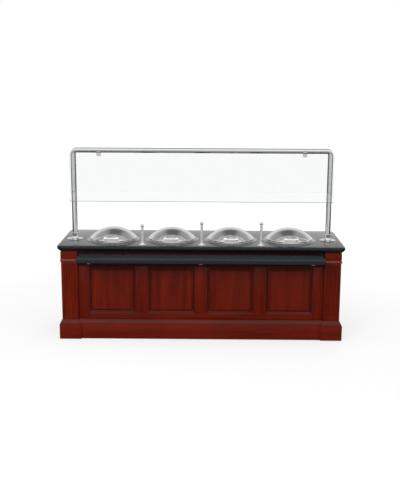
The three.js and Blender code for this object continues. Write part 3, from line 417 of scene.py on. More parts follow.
def slab(shell, outline, heights, place, edge, steps=2, finish=0, boards=None):
    """A flat piece between two heights with its edges rounded over"""
    ease = [(edge * (1 - math.sin(turn)), edge * (1 - math.cos(turn))) for turn in turns(math.pi / 2, steps)]
    profile = [(inset, heights[1] - drop) for inset, drop in ease]
    profile += [(inset, heights[0] + drop) for inset, drop in reversed(ease)]
    swept(shell, outline, profile, place, finish=finish, boards=boards)


def plank(shell, place, us, vs, ws, along=None, edge=0.001, finish=0):
    """A rectangular board, its grain running along the drawing's first or second axis"""
    board = None
    if along is not None:
        board = Board(place.to_3x3().col["uv".index(along)], place.to_3x3().col[2])
    outline = rounded(us, vs, 1.4 * edge)
    slab(shell, outline, ws, place, edge, finish=finish, boards=board)


def turned(shell, profile, place, segments=48, closed=False, finish=0):
    """Turns a profile of (radius, height) points about the drawing's third axis"""
    widest = max(radius for radius, _ in profile)
    rings, run = [], [0.0]
    for radius, height in profile:
        if radius < 1e-7:
            rings.append([place @ Vector((0, 0, height))])
            continue
        ring = []
        for i in range(segments):
            angle = 2 * math.pi * i / segments
            ring.append(place @ Vector((radius * math.cos(angle), radius * math.sin(angle), height)))
        rings.append(ring)
    for (r0, h0), (r1, h1) in zip(profile, profile[1:]):
        run.append(run[-1] + math.hypot(r1 - r0, h1 - h0))

    def grain(ring, index, segment, point):
        return 2 * math.pi * widest * index / segments, run[ring], 0.0

    shell.skin(rings, closed, finish, grain)


def rod(shell, start, end, radius, segments=24, edge=0.0006, finish=0):
    """A round bar between two points with eased ends"""
    start, end = Vector(start), Vector(end)
    w = (end - start).normalized()
    u = w.orthogonal().normalized()
    size = (end - start).length
    profile = [(0, 0), (radius - edge, 0), (radius, edge)]
    profile += [(radius, size - edge), (radius - edge, size), (0, size)]
    turned(shell, profile, placed(u, w.cross(u), w, start), segments, finish=finish)


def screw_head(shell, place, u, v, w, radius=0.0045, finish=0):
    """A low domed screw head, standing on a face"""
    profile = [(0, 0.0014)]
    profile += [(radius * math.sin(a), 0.0006 + 0.0008 * math.cos(a)) for a in (0.35, 0.7, 1.05, 1.4)]
    profile += [(radius, 0.0004), (radius, -0.0002), (0, -0.0002)]
    turned(shell, profile, place @ Matrix.Translation((u, v, w)), 20, finish=finish)


def carved(shell, cutter, board=None):
    """The shell with the cutter's solids cut out of it, all of one finish"""
    body = bpy.data.objects.new("body", shell.mesh("body"))
    tool = bpy.data.objects.new("tool", cutter.mesh("tool"))
    for part in (body, tool):
        bpy.context.scene.collection.objects.link(part)
    cut = body.modifiers.new("cut", "BOOLEAN")
    cut.operation = "DIFFERENCE"
    cut.solver = "MANIFOLD"
    cut.object = tool
    bpy.context.view_layer.update()
    mesh = bpy.data.meshes.new_from_object(body.evaluated_get(bpy.context.evaluated_depsgraph_get()))
    if not mesh.polygons:
        raise RuntimeError("a cut left nothing of its piece")
    result = Shell()
    result.take(mesh, board=board)
    for part in (body, tool):
        bpy.data.objects.remove(part)
    return result


def piece(name, shell, materials, body, slot, *nodes, crease=32.0):
    """Makes the shell a shown piece that rides on a body and stands for nodes of the frame"""
    mesh = shell.mesh(name)
    for material in materials:
        mesh.materials.append(material)
    mesh.shade_smooth()
    mesh.set_sharp_from_angle(angle=math.radians(crease))
    made = bpy.data.objects.new(name, mesh)
    bpy.context.scene.collection.objects.link(made)
    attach(made, body)
    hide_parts(*nodes)
    return made


# Finishes

WHITE = (1.0, 1.0, 1.0)
BLACK = (0.0, 0.0, 0.0)


def grey(level):
    return level, level, level


def scaled(colour, factor):
    return tuple(min(1.0, channel * factor) for channel in colour)


class Nodes:
    """A node tree and the ways in which the finishes and the backdrop put it together"""

    def __init__(self, tree):
        self.tree = tree
        self.tree.nodes.clear()

    def add(self, kind, sockets=None, **settings):
        """Adds a node, with what its sockets are fed and how it is set"""
        node = self.tree.nodes.new(kind)
        for name, value in settings.items():
            setattr(node, name, value)
        for name, value in (sockets or {}).items():
            self.feed(node.inputs[name], value)
        return node

    def feed(self, socket, value):
        """Links a socket to another, or writes a plain value on it"""
        if isinstance(value, bpy.types.NodeSocket):
            self.tree.links.new(value, socket)
        else:
            socket.default_value = value

    def along_the_grain(self, *scale):
        """Places in the grain of the surface, stretched"""
        vector = self.add("ShaderNodeAttribute", attribute_name="grain").outputs["Vector"]
        return self.add("ShaderNodeMapping", {"Vector": vector, "Scale": scale}).outputs["Vector"]

    def in_the_piece(self, *scale):
        """Places in the piece's own space, stretched where a scale is given"""
        sockets = {"Vector": self.add("ShaderNodeTexCoord").outputs["Object"]}
        if scale:
            sockets["Scale"] = scale
        return self.add("ShaderNodeMapping", sockets).outputs["Vector"]

    def noise(self, vector, scale=1.0, detail=2.0, roughness=0.5, distortion=0.0):
        sockets = {
            "Vector": vector, "Scale": scale, "Detail": detail,
            "Roughness": roughness, "Distortion": distortion,
        }
        return self.add("ShaderNodeTexNoise", sockets).outputs["Fac"]

    def ramp(self, value, *stops):
        """The colour at a value, between stops of (position, colour)"""
        node = self.add("ShaderNodeValToRGB", {"Fac": value})
        elements = node.color_ramp.elements
        while len(elements) < len(stops):
            elements.new(0.5)
        for element, (position, colour) in zip(elements, stops):
            element.position = position
            element.color = (*colour, 1.0)
        return node.outputs["Color"]

    def ranged(self, value, low, high, start=0.0, end=1.0):
        """The value's stretch from start to end, spread from low to high"""
        sockets = {"Value": value, "From Min": start, "From Max": end, "To Min": low, "To Max": high}
        return self.add("ShaderNodeMapRange", sockets).outputs["Result"]

    def mixed(self, share_of_second, first, second, blend="MIX"):
        node = self.add("ShaderNodeMix", data_type="RGBA", blend_type=blend)
        self.feed(node.inputs[0], share_of_second)
        for socket, value in ((node.inputs[6], first), (node.inputs[7], second)):
            self.feed(socket, value if isinstance(value, bpy.types.NodeSocket) else (*value, 1.0))
        return node.outputs[2]

    def marked(self, tone, marks, low, dark, high):
        """The tone, multiplied by a dark colour where the marks are low and left alone where they are high"""
        return self.mixed(1.0, tone, self.ramp(marks, (low, dark), (high, WHITE)), "MULTIPLY")

    def bump(self, height, strength, distance):
        sockets = {"Height": height, "Strength": strength, "Distance": distance}
        return self.add("ShaderNodeBump", sockets).outputs["Normal"]

    def maths(self, operation, first, second=0.0):
        return self.add("ShaderNodeMath", {0: first, 1: second}, operation=operation).outputs[0]

    def straight_view(self):
        """1 for what the camera sees, also through glass, and 0 for what lights a piece or shows in it"""
        path = self.add("ShaderNodeLightPath").outputs
        bounced = self.maths("MAXIMUM", path["Glossy Depth"], path["Diffuse Depth"])
        direct = self.maths("LESS_THAN", bounced, 0.5)
        through_glass = self.maths("MULTIPLY", path["Is Transmission Ray"], direct)
        return self.maths("MAXIMUM", path["Is Camera Ray"], through_glass)


class Finish(Nodes):
    """A material put together from nodes"""

    def __init__(self, name):
        self.material = bpy.data.materials.new(name)
        self.material.use_nodes = True
        super().__init__(self.material.node_tree)
        self.output = self.add("ShaderNodeOutputMaterial")

    def surface(self, **sockets):
        """Closes the material with its one shader. Underscores stand for spaces in the sockets' names"""
        named = {name.replace("_", " "): value for name, value in sockets.items()}
        shader = self.add("ShaderNodeBsdfPrincipled", named)
        self.tree.links.new(shader.outputs["BSDF"], self.output.inputs["Surface"])
        return self.material


finishes = {}


def finish(name):
    """Makes each finish once, when a piece first asks for it"""
    if name not in finishes:
        finishes[name] = FINISH_MAKERS[name]()
    return finishes[name]


def lacquered_wood(name="mahogany", gloss=1.0):
    """Straight-grained mahogany: broad streaks, fine fibres and dark pores under a satin lacquer"""
    wood = bpy.context.scene.counter_wood
    made = Finish(name)
    streaks = made.noise(made.along_the_grain(1.4, 17.0, 17.0), detail=5.0, roughness=0.6, distortion=0.5)
    figure = made.noise(made.along_the_grain(2.6, 4.5, 4.5), detail=3.0)
    fibres = made.noise(made.along_the_grain(16.0, 420.0, 420.0), detail=3.0, roughness=0.65)
    pores = made.noise(made.along_the_grain(55.0, 1500.0, 1500.0), detail=1.0)
    stain = tuple(wood.stain)
    tone = made.ramp(streaks, (0.28, scaled(stain, 0.62)), (0.50, stain), (0.74, scaled(stain, 1.34)))
    tone = made.marked(tone, figure, 0.3, (0.82, 0.8, 0.8), 0.7)
    tone = made.marked(tone, fibres, 0.3, (0.78, 0.72, 0.7), 0.62)
    tone = made.marked(tone, pores, 0.32, (0.55, 0.5, 0.5), 0.42)
    # Painted shade: the wood turns towards the dark colour where the points' painted shade is high, in
    # corners, recesses and under the stone
    glaze = made.add("ShaderNodeAttribute", attribute_name="glaze").outputs["Fac"]
    return made.surface(
        Base_Color=made.mixed(glaze, tone, tuple(wood.glaze)),
        Roughness=made.ranged(fibres, 0.27, 0.38),
        Specular_IOR_Level=min(1.0, wood.lacquer * gloss),
        Normal=made.bump(pores, 0.12, 0.0003),
    )


def storage_wood():
    """Stained board with a matte seal"""
    made = Finish("storage board")
    stain = tuple(bpy.context.scene.counter_wood.inner_stain)
    streaks = made.noise(made.along_the_grain(2.0, 26.0, 26.0), detail=5.0, roughness=0.6, distortion=0.6)
    fibres = made.noise(made.along_the_grain(20.0, 480.0, 480.0), detail=3.0)
    tone = made.ramp(streaks, (0.3, scaled(stain, 0.7)), (0.5, stain), (0.72, scaled(stain, 1.3)))
    return made.surface(
        Base_Color=made.marked(tone, fibres, 0.3, (0.8, 0.76, 0.74), 0.6),
        Roughness=made.ranged(fibres, 0.5, 0.66),
        Specular_IOR_Level=0.3,
        Normal=made.bump(fibres, 0.15, 0.0003),
    )


def black_stone():
    """Polished black granite with fine grey crystals"""
    top = bpy.context.scene.counter_top
    stone = tuple(top.stone)
    made = Finish("black granite")
    space = made.in_the_piece()
    crystals = made.add("ShaderNodeTexVoronoi", {"Vector": space, "Scale": 420.0, "Randomness": 1.0})
    clouds = made.noise(space, 34.0, 4.0, 0.6)
    bright = made.ramp(crystals.outputs["Distance"], (0.12, WHITE), (0.3, BLACK))
    spread = made.ramp(clouds, (0.42, BLACK), (0.68, grey(0.8)))
    amount = made.mixed(1.0, bright, spread, "MULTIPLY")
    ground = made.ramp(clouds, (0.3, scaled(stone, 0.6)), (0.7, scaled(stone, 1.5)))
    return made.surface(
        Base_Color=made.mixed(amount, ground, tuple(top.fleck)),
        Roughness=made.ranged(clouds, 0.06, 0.11),
    )


def cast_tray():
    """Charcoal cast slab with a fine speckle and a low gloss, painted paler on its top and darker on its
    sides and edges, as light from above would fall
    """
    made = Finish("cast tray slide")
    colour = tuple(bpy.context.scene.counter_top.tray)
    speckle = made.noise(made.in_the_piece(), 900.0, 2.0, 0.6)
    rub = made.noise(made.in_the_piece(5.0, 60.0, 60.0), 1.0, 3.0)
    # Painted light: faces that point up are painted paler and the others darker
    facing = made.add("ShaderNodeTexCoord").outputs["Normal"]
    upward = made.ranged(made.add("ShaderNodeSeparateXYZ", {0: facing}).outputs["Z"], 0.0, 1.0, 0.3, 0.95)
    painted_top_light = made.mixed(upward, grey(0.66), WHITE)
    tone = made.ramp(speckle, (0.36, scaled(colour, 0.7)), (0.5, colour), (0.68, scaled(colour, 1.9)))
    return made.surface(
        Base_Color=made.mixed(1.0, tone, painted_top_light, "MULTIPLY"),
        Roughness=made.ranged(rub, 0.2, 0.32),
        Specular_IOR_Level=0.1,
        Normal=made.bump(speckle, 0.05, 0.0002),
    )


def chrome():
    """Mirror-polished metal with faint wiping marks"""
    made = Finish("polished chrome")
    colour = tuple(bpy.context.scene.counter_metal.chrome)
    smears = made.noise(made.along_the_grain(9.0, 30.0, 30.0), 1.0, 4.0, 0.6)
    waves = made.noise(made.in_the_piece(), 26.0, 1.0)
    return made.surface(
        Base_Color=made.ramp(smears, (0.3, scaled(colour, 0.95)), (0.7, colour)),
        Metallic=1.0,
        Roughness=made.ranged(smears, 0.045, 0.12),
        Normal=made.bump(waves, 0.05, 0.0005),
    )


def satin_plating(name, level, metal):
    """Bright satin plating, which shows pale from every side"""
    made = Finish(name)
    rub = made.noise(made.in_the_piece(), 60.0, 3.0)
    return made.surface(
        Base_Color=made.ramp(rub, (0.3, grey(level * 0.94)), (0.7, grey(level))),
        Metallic=metal,
        Roughness=made.ranged(rub, 0.26, 0.38),
    )


def brushed_steel():
    """Stainless steel with brush marks along the grain"""
    made = Finish("brushed steel")
    colour = tuple(bpy.context.scene.counter_metal.steel)
    marks = made.noise(made.along_the_grain(3.0, 1400.0, 1400.0), 1.0, 3.0, 0.7)
    patches = made.noise(made.along_the_grain(4.0, 12.0, 12.0), 1.0, 3.0)
    return made.surface(
        Base_Color=made.ramp(marks, (0.3, scaled(colour, 0.86)), (0.7, scaled(colour, 1.1))),
        Metallic=1.0,
        Roughness=made.ranged(patches, 0.24, 0.36),
        Normal=made.bump(marks, 0.12, 0.0001),
    )


def powder_coat():
    """Black powder coat with its fine orange peel"""
    made = Finish("powder coat")
    colour = tuple(bpy.context.scene.counter_metal.powder_coat)
    peel = made.noise(made.in_the_piece(), 520.0, 2.0)
    dust = made.noise(made.in_the_piece(), 9.0, 4.0)
    return made.surface(
        Base_Color=made.ramp(dust, (0.35, colour), (0.75, scaled(colour, 1.7))),
        Roughness=made.ranged(dust, 0.42, 0.6),
        Normal=made.bump(peel, 0.2, 0.0003),
    )


def clear_glass():
    """The polished faces of the glass, with the faintest wiping marks"""
    made = Finish("clear glass")
    colour = tuple(bpy.context.scene.counter_metal.glass)
    smears = made.noise(made.in_the_piece(), 7.0, 5.0, 0.6)
    return made.surface(
        Base_Color=made.ramp(smears, (0.35, scaled(colour, 0.985)), (0.65, colour)),
        Roughness=made.ranged(smears, 0.0, 0.02, 0.4, 0.8),
        Transmission_Weight=1.0,
        IOR=1.52,
    )


def ground_glass_edge():
    """The ground and polished edge of the glass, where its green body shows"""
    made = Finish("glass edge")
    colour = tuple(bpy.context.scene.counter_metal.glass_edge)
    marks = made.noise(made.in_the_piece(), 240.0, 2.0)
    return made.surface(
        Base_Color=made.ramp(marks, (0.3, scaled(colour, 0.9)), (0.7, colour)),
        Roughness=made.ranged(marks, 0.12, 0.24),
        Transmission_Weight=0.6,
        IOR=1.52,
    )


def moulded_plastic(name, colour, low, high):
    """Moulded plastic with a fine spark-eroded texture, its roughness between low and high"""
    made = Finish(name)
    texture = made.noise(made.in_the_piece(), 1400.0, 2.0)
    wear = made.noise(made.in_the_piece(), 45.0, 4.0)
    return made.surface(
        Base_Color=made.ramp(wear, (0.3, colour), (0.75, scaled(colour, 1.5))),
        Roughness=made.ranged(wear, low, high),
        Normal=made.bump(texture, 0.12, 0.0002),
    )


FINISH_MAKERS = {
    "wood": lacquered_wood,
    "moulding": lambda: lacquered_wood("rubbed mahogany", 2.0),
    "inner_wood": storage_wood,
    "stone": black_stone,
    "tray": cast_tray,
    "chrome": chrome,
    "handle": lambda: satin_plating("satin handle", 0.95, 0.35),
    "post": lambda: satin_plating("satin post", 0.82, 0.6),
    "steel": brushed_steel,
    "powder_coat": powder_coat,
    "glass": clear_glass,
    "glass_edge": ground_glass_edge,
    "knob": lambda: moulded_plastic("black knob plastic", grey(0.012), 0.34, 0.46),
    "marking": lambda: moulded_plastic("black marking", grey(0.02), 0.5, 0.6),
    "pointer": lambda: moulded_plastic("white pointer", (0.72, 0.72, 0.7), 0.4, 0.5),
    "tyre": lambda: moulded_plastic("grey tyre", (0.035, 0.035, 0.037), 0.6, 0.8),
    "hub": lambda: moulded_plastic("grey hub", (0.12, 0.125, 0.13), 0.4, 0.5),
}


# Stage

# Brightness of the studio by the sine of the height over the horizon
BEHIND_THE_COUNTER = (
    (0.0, 0.80), (0.42, 0.76), (0.55, 0.38), (0.68, 0.14), (0.93, 0.14), (0.985, 0.45), (1.0, 0.62),
)
BESIDE_THE_COUNTER = ((0.0, 0.82), (0.42, 0.74), (0.6, 0.40), (0.8, 0.34), (0.93, 0.36), (1.0, 0.62))
BEFORE_THE_COUNTER = (
    (0.0, 0.12), (0.12, 0.16), (0.3, 0.75), (0.42, 0.95), (0.58, 1.08), (0.9, 1.08), (1.0, 0.62),
)

# Where one passes into the next, by how far a direction points along X and along Y
BEHIND_TO_BESIDE = (0.14, 0.32)
BEFORE_TO_BEHIND = (-0.15, 0.15)

# The floor: its greys, how bright it is shown near and far, and how metal sees it brighten in front
FLOOR_REACH = 60.0
FLOOR_GREYS = (0.29, 0.31)
FLOOR_GREY_IN_METAL = 0.12
FLOOR_SHOWN = (0.70, 0.92)
FLOOR_SHOWN_FROM_TO = (2.5, 7.0)
FLOOR_MIRRORED = (0.0, 0.60)
FLOOR_MIRRORED_FROM_TO = (-3.3, -5.3)

# The lamps: where each stands, what it points at and its size
KEY_LAMP = ((-1.2, -4.6, 3.0), (0, -0.3, 0.6), (3.2, 1.8))
STRIP_LAMP = ((0, -0.6, 3.4), (0, 0.1, 0.9), (3.6, 0.35))
FILL_LAMP = ((1.4, 4.8, 2.6), (0, 0.3, 0.6), (3.2, 1.8))


def look(pitch, yaw, roll):
    """A camera's three axes from how far it looks down, to the right, and leans"""
    ahead = Vector((math.sin(yaw) * math.cos(pitch), math.cos(yaw) * math.cos(pitch), -math.sin(pitch)))
    level = ahead.cross(Z).normalized()
    up = level.cross(ahead) * math.cos(roll) - level * math.sin(roll)
    return ahead.cross(up), up, -ahead


def add_camera(studio):
    data = bpy.data.cameras.new("camera")
    data.sensor_fit = "AUTO"
    data.sensor_width = 36.0
    data.lens = studio.camera_lens
    data.clip_end = 200.0
    camera = bpy.data.objects.new("camera", data)
    axes = look(studio.camera_pitch, studio.camera_yaw, studio.camera_roll)
    camera.matrix_world = placed(*axes, studio.camera_place)
    bpy.context.scene.collection.objects.link(camera)
    bpy.context.scene.camera = camera


def add_lamp(name, place, target, size, energy):
    """A soft box that lights the pieces without showing in the polished ones"""
    data = bpy.data.lights.new(name, "AREA")
    data.shape = "RECTANGLE"
    data.size, data.size_y = size
    data.energy = energy
    lamp = bpy.data.objects.new(name, data)
    lamp.location = place
    lamp.rotation_euler = (Vector(target) - Vector(place)).to_track_quat("-Z", "Y").to_euler()
    lamp.visible_camera = False
    lamp.visible_glossy = False
    lamp.visible_transmission = False
    bpy.context.scene.collection.objects.link(lamp)


def add_backdrop():
    """A white backdrop for the camera. Pieces see a soft studio, brighter before the counter than behind"""
    world = bpy.data.worlds.new("studio")
    world.use_nodes = True
    bpy.context.scene.world = world
    made = Nodes(world.node_tree)
    direction = made.add("ShaderNodeTexCoord").outputs["Generated"]
    axes = made.add("ShaderNodeSeparateXYZ", {0: direction}).outputs
    behind, beside, before = (
        made.ramp(axes["Z"], *((height, grey(level)) for height, level in levels))
        for levels in (BEHIND_THE_COUNTER, BESIDE_THE_COUNTER, BEFORE_THE_COUNTER)
    )
    sideways = made.maths("ABSOLUTE", axes["X"])
    behind = made.mixed(made.ranged(sideways, 0.0, 1.0, *BEHIND_TO_BESIDE), behind, beside)
    studio = made.mixed(made.ranged(axes["Y"], 0.0, 1.0, *BEFORE_TO_BEHIND), before, behind)
    colour = made.mixed(made.straight_view(), studio, WHITE)
    background = made.add("ShaderNodeBackground", {"Color": colour}).outputs[0]
    made.add("ShaderNodeOutputWorld", {"Surface": background})


def add_floor():
    """A pale floor that keeps the shadow, and that metal sees brighten in front of the counter"""
    corners = rectangle((-FLOOR_REACH, FLOOR_REACH), (-FLOOR_REACH, FLOOR_REACH))
    floor = bpy.data.objects.new("floor", bpy.data.meshes.new("floor"))
    floor.data.from_pydata([(x, y, 0.0) for x, y in corners], [], [range(4)])
    made = Finish("pale floor")
    place = made.add("ShaderNodeTexCoord").outputs["Object"]
    speckle = made.noise(place, 60.0, 3.0)
    pale = made.ramp(speckle, (0.3, grey(FLOOR_GREYS[0])), (0.7, grey(FLOOR_GREYS[1])))
    glossy = made.add("ShaderNodeLightPath").outputs["Is Glossy Ray"]
    pale = made.mixed(glossy, pale, grey(FLOOR_GREY_IN_METAL))
    matte = made.add("ShaderNodeBsdfDiffuse", {"Color": pale}).outputs[0]
    distance = made.add("ShaderNodeVectorMath", {0: place}, operation="LENGTH").outputs["Value"]
    shown = made.ranged(distance, *FLOOR_SHOWN, *FLOOR_SHOWN_FROM_TO)
    along_y = made.add("ShaderNodeSeparateXYZ", {0: place}).outputs["Y"]
    mirrored = made.ranged(along_y, *FLOOR_MIRRORED, *FLOOR_MIRRORED_FROM_TO)
    to_the_camera = made.maths("MULTIPLY", made.straight_view(), shown)
    strength = made.maths("ADD", to_the_camera, made.maths("MULTIPLY", glossy, mirrored))
    glow = made.add("ShaderNodeEmission", {"Strength": strength}).outputs[0]
    both = made.add("ShaderNodeAddShader", {0: matte, 1: glow}).outputs[0]
    made.feed(made.output.inputs["Surface"], both)
    floor.data.materials.append(made.material)
    bpy.context.scene.collection.objects.link(floor)


class COUNTER_OT_stage(bpy.types.Operator):
    """Sets up the camera, the lights, the backdrop and the floor"""

    bl_idname = "counter.stage"
    bl_label = "Stage"

    def execute(self, context):
        studio = context.scene.counter_studio
        context.scene.view_settings.view_transform = "Standard"
        add_camera(studio)
        add_backdrop()
        add_floor()
        add_lamp("key", *KEY_LAMP, studio.key_power)
        add_lamp("strip", *STRIP_LAMP, studio.strip_power)
        add_lamp("fill", *FILL_LAMP, studio.fill_power)
        return {"FINISHED"}


# Stone top and wells

STONE_CORNER_RADIUS = 0.045
STONE_RIM_WIDTH = 0.06
STONE_THICKNESS = 0.03
CUTOUT_RADIUS = 0.233
CUT_SEGMENTS = 96

# The stone's moulded edge, as (inset, depth under the top)
STONE_EDGE = (
    (0.0125, 0.0), (0.0080, 0.0010), (0.0040, 0.0030), (0.0012, 0.0060), (0.0, 0.0110), (0.0, 0.0240),
    (0.0012, 0.0290), (0.0040, 0.0350), (0.0095, 0.0410), (0.0175, 0.0470), (0.0262, 0.0530),
)
STONE_FOOT_INSET = 0.0272

# How far a lid's hinge pin stands behind the middle of its well
HINGE_OFFSET = 0.256


def well_centre(number):
    """The middle of a well, level with the stone"""
    return Vector((middle_of(f"control_knob_{number}").x, LID_PIVOT_Y - HINGE_OFFSET, TOP_Z))


def lid_pivot(number):
    """The middle of a lid's hinge pin"""
    return well_centre(number).x, LID_PIVOT_Y, LID_PIVOT_Z


class COUNTER_OT_top(bpy.types.Operator):
    """Shapes the stone top: a moulded edge, round cut-outs and a hollow underside"""

    bl_idname = "counter.top"
    bl_label = "Stone top"

    def execute(self, context):
        low, high = COUNTER_LOW, COUNTER_HIGH
        edge = through([(inset, high.z - depth) for inset, depth in STONE_EDGE])
        edge = [(max(inset, 0.0), height) for inset, height in edge] + [(STONE_FOOT_INSET, low.z)]
        stone = Shell()
        swept(stone, rounded((low.x, high.x), (low.y, high.y), STONE_CORNER_RADIUS, 8), edge, FLAT)
        hollow = Shell()
        hollow_outline = rectangle(
            (low.x + STONE_RIM_WIDTH, high.x - STONE_RIM_WIDTH),
            (low.y + STONE_RIM_WIDTH, high.y - STONE_RIM_WIDTH),
        )
        swept(hollow, hollow_outline, [(0, high.z - STONE_THICKNESS), (0, low.z - OVERRUN)], FLAT)
        stone = carved(stone, hollow)
        holes = Shell()
        wall = [(CUTOUT_RADIUS, high.z + OVERRUN), (CUTOUT_RADIUS, low.z - OVERRUN)]
        for number in WELL_NUMBERS:
            centre = well_centre(number)
            turned(holes, wall, Matrix.Translation((centre.x, centre.y, 0)), CUT_SEGMENTS)
        stone = carved(stone, holes)
        piece("stone_top", stone, [finish("stone")], "cart", "stone", "countertop", crease=40.0)
        return {"FINISHED"}


# A well's pan and its rolled rim, as (radius, height over the stone, ease of the corner)
WELL_OUTSIDE = (
    (0.0, -0.107), (0.204, -0.107, 0.014), (0.222, FIT, 0.002), (0.2615, FIT, 0.0012),
    (0.2629, 0.0021, 0.0012), (0.2600, 0.0048, 0.0014), (0.2545, 0.0063, 0.0012),
)
WELL_INSIDE = (
    (0.2352, 0.0063, 0.0012), (0.2298, 0.0045, 0.0012), (0.2202, 0.0045, 0.002),
    (0.2018, -0.104, 0.022), (0.0, -0.104),
)

# The two ears that carry a lid's pin, and the pad they stand on
HINGE_PIN_RADIUS = 0.004
PIN_OVERHANG = 0.002
EAR_INNER = 0.027
EAR_OUTER = 0.034
EAR_RADIUS = 0.009
EAR_FOOT = (-0.016, 0.013)
EAR_BOTTOM = 0.0035
PAD_FOOT = (-0.018, 0.013)
PAD_THICKNESS = 0.004


class COUNTER_OT_wells(bpy.types.Operator):
    """Turns the wells with their rolled rims, and sets the ears and pin of each lid's hinge"""

    bl_idname = "counter.wells"
    bl_label = "Wells"

    def execute(self, context):
        profile = eased(WELL_OUTSIDE) + eased(WELL_INSIDE)
        steps = context.scene.counter_top.well_segments
        foot = TOP_Z - LID_PIVOT_Z + EAR_BOTTOM
        ear = [(EAR_FOOT[0], foot), (EAR_FOOT[1], foot), *arc((0, 0), EAR_RADIUS, 0, 180, 12)]
        pad = ((-EAR_OUTER, EAR_OUTER), PAD_FOOT, (FIT, FIT + PAD_THICKNESS))
        for number in WELL_NUMBERS:
            well = Shell()
            turned(well, profile, Matrix.Translation(well_centre(number)), steps)
            x, y, z = lid_pivot(number)
            for heights in ((-EAR_OUTER, -EAR_INNER), (EAR_INNER, EAR_OUTER)):
                slab(well, ear, heights, side_on((x, y, z)), 0.0006)
            plank(well, Matrix.Translation((x, y, TOP_Z)), *pad, edge=0.0008)
            ends = [(x + side * (EAR_OUTER + PIN_OVERHANG), y, z) for side in (-1, 1)]
            rod(well, *ends, HINGE_PIN_RADIUS)
            piece(f"well_pan_{number}", well, [finish("steel")], "cart", "steel", f"well_{number}")
        return {"FINISHED"}


# Lids: the dome is part of a sphere, and heights are over the stone

LID_RADIUS = 0.232
LID_WALL = 0.0025
LID_BOTTOM = 0.0066
SKIRT_TOP = LID_BOTTOM + 0.022
DOME_EDGE = 0.228
DOME_HEIGHT = 0.094
DOME_SPHERE = (DOME_EDGE ** 2 + DOME_HEIGHT ** 2) / (2 * DOME_HEIGHT)
DOME_STEPS = 26

# The skirt from the dome round its rolled edge to the inside, as (radius, height, ease of the corner)
LID_SKIRT = (
    (DOME_EDGE, SKIRT_TOP),
    (LID_RADIUS, SKIRT_TOP - 0.004, 0.003),
    (LID_RADIUS, LID_BOTTOM + 0.0052, 0.001),
    (0.2348, LID_BOTTOM + 0.0046, 0.0018),
    (0.2350, LID_BOTTOM + 0.0008, 0.0016),
    (LID_RADIUS - LID_WALL, LID_BOTTOM, 0.001),
    (LID_RADIUS - LID_WALL, SKIRT_TOP - 0.006, 0.004),
)

# The strap from a lid's knuckle to its skirt, measured from the pin
STRAP_US = (LID_RADIUS - 0.0055 - HINGE_OFFSET, -0.0065)
STRAP_VS = (-0.004, 0.0045)


def dome_height(radius):
    """Height of the dome's outside over the stone"""
    return SKIRT_TOP + DOME_HEIGHT - DOME_SPHERE + math.sqrt(DOME_SPHERE ** 2 - radius ** 2)


def dome_radii():
    """Radii at which the dome is drawn, closer together towards its edge"""
    return [DOME_EDGE * math.sin(turn) for turn in turns(math.pi / 2, DOME_STEPS)]


class COUNTER_OT_lids(bpy.types.Operator):
    """Spins the dome lids with a rolled edge, and fits the knuckle that turns on the hinge pin"""

    bl_idname = "counter.lids"
    bl_label = "Lids"

    def execute(self, context):
        outside = [(radius, dome_height(radius)) for radius in dome_radii()]
        lining = [(radius * 0.985, height - LID_WALL) for radius, height in outside]
        profile = outside[:-1] + eased(LID_SKIRT, 5) + lining[::-1][1:]
        half = EAR_INNER - 0.001
        bore = HINGE_PIN_RADIUS + FIT
        knuckle = both_sides([(bore, -half), (EAR_RADIUS - 0.001, -half), (EAR_RADIUS, -half + 0.001)])
        steps = context.scene.counter_top.well_segments
        for number in WELL_NUMBERS:
            lid = Shell()
            turned(lid, profile, Matrix.Translation(well_centre(number)), steps)
            pin = side_on(lid_pivot(number))
            turned(lid, knuckle, pin, 32, closed=True)
            slab(lid, rounded(STRAP_US, STRAP_VS, 0.0015), (-half, half), pin, 0.0008)
            piece(f"dome_lid_{number}", lid, [finish("chrome")], f"cover_{number}", "chrome", f"lid_{number}")
        return {"FINISHED"}


# Lid handles: a grip on two arms, each with a round boss whose foot is cut to the dome

HANDLE_HALF_SPAN = 0.056
HANDLE_ARM_LENGTH = 0.046
HANDLE_LEAN = math.radians(78)
GRIP_REACH = 0.240
GRIP_LIFT = 0.020
GRIP_RADIUS = 0.009
BOSS_RADIUS = 0.018
BOSS_LENGTH = 0.026

# An arm from its boss to the grip, as (radius, height over the boss), and its end inside the grip
ARM_TAPER = ((0.0094, 0.0004), (0.0076, 0.0024), (0.0069, 0.0060), (0.0068, 0.0110))
ARM_END_RADIUS = 0.0072

# The groove round each end of the grip, as (radius, distance from the grip's middle)
GRIP_GROOVE = ((GRIP_RADIUS, 0.0435), (0.0080, 0.0429), (0.0080, 0.0417), (GRIP_RADIUS, 0.0411))


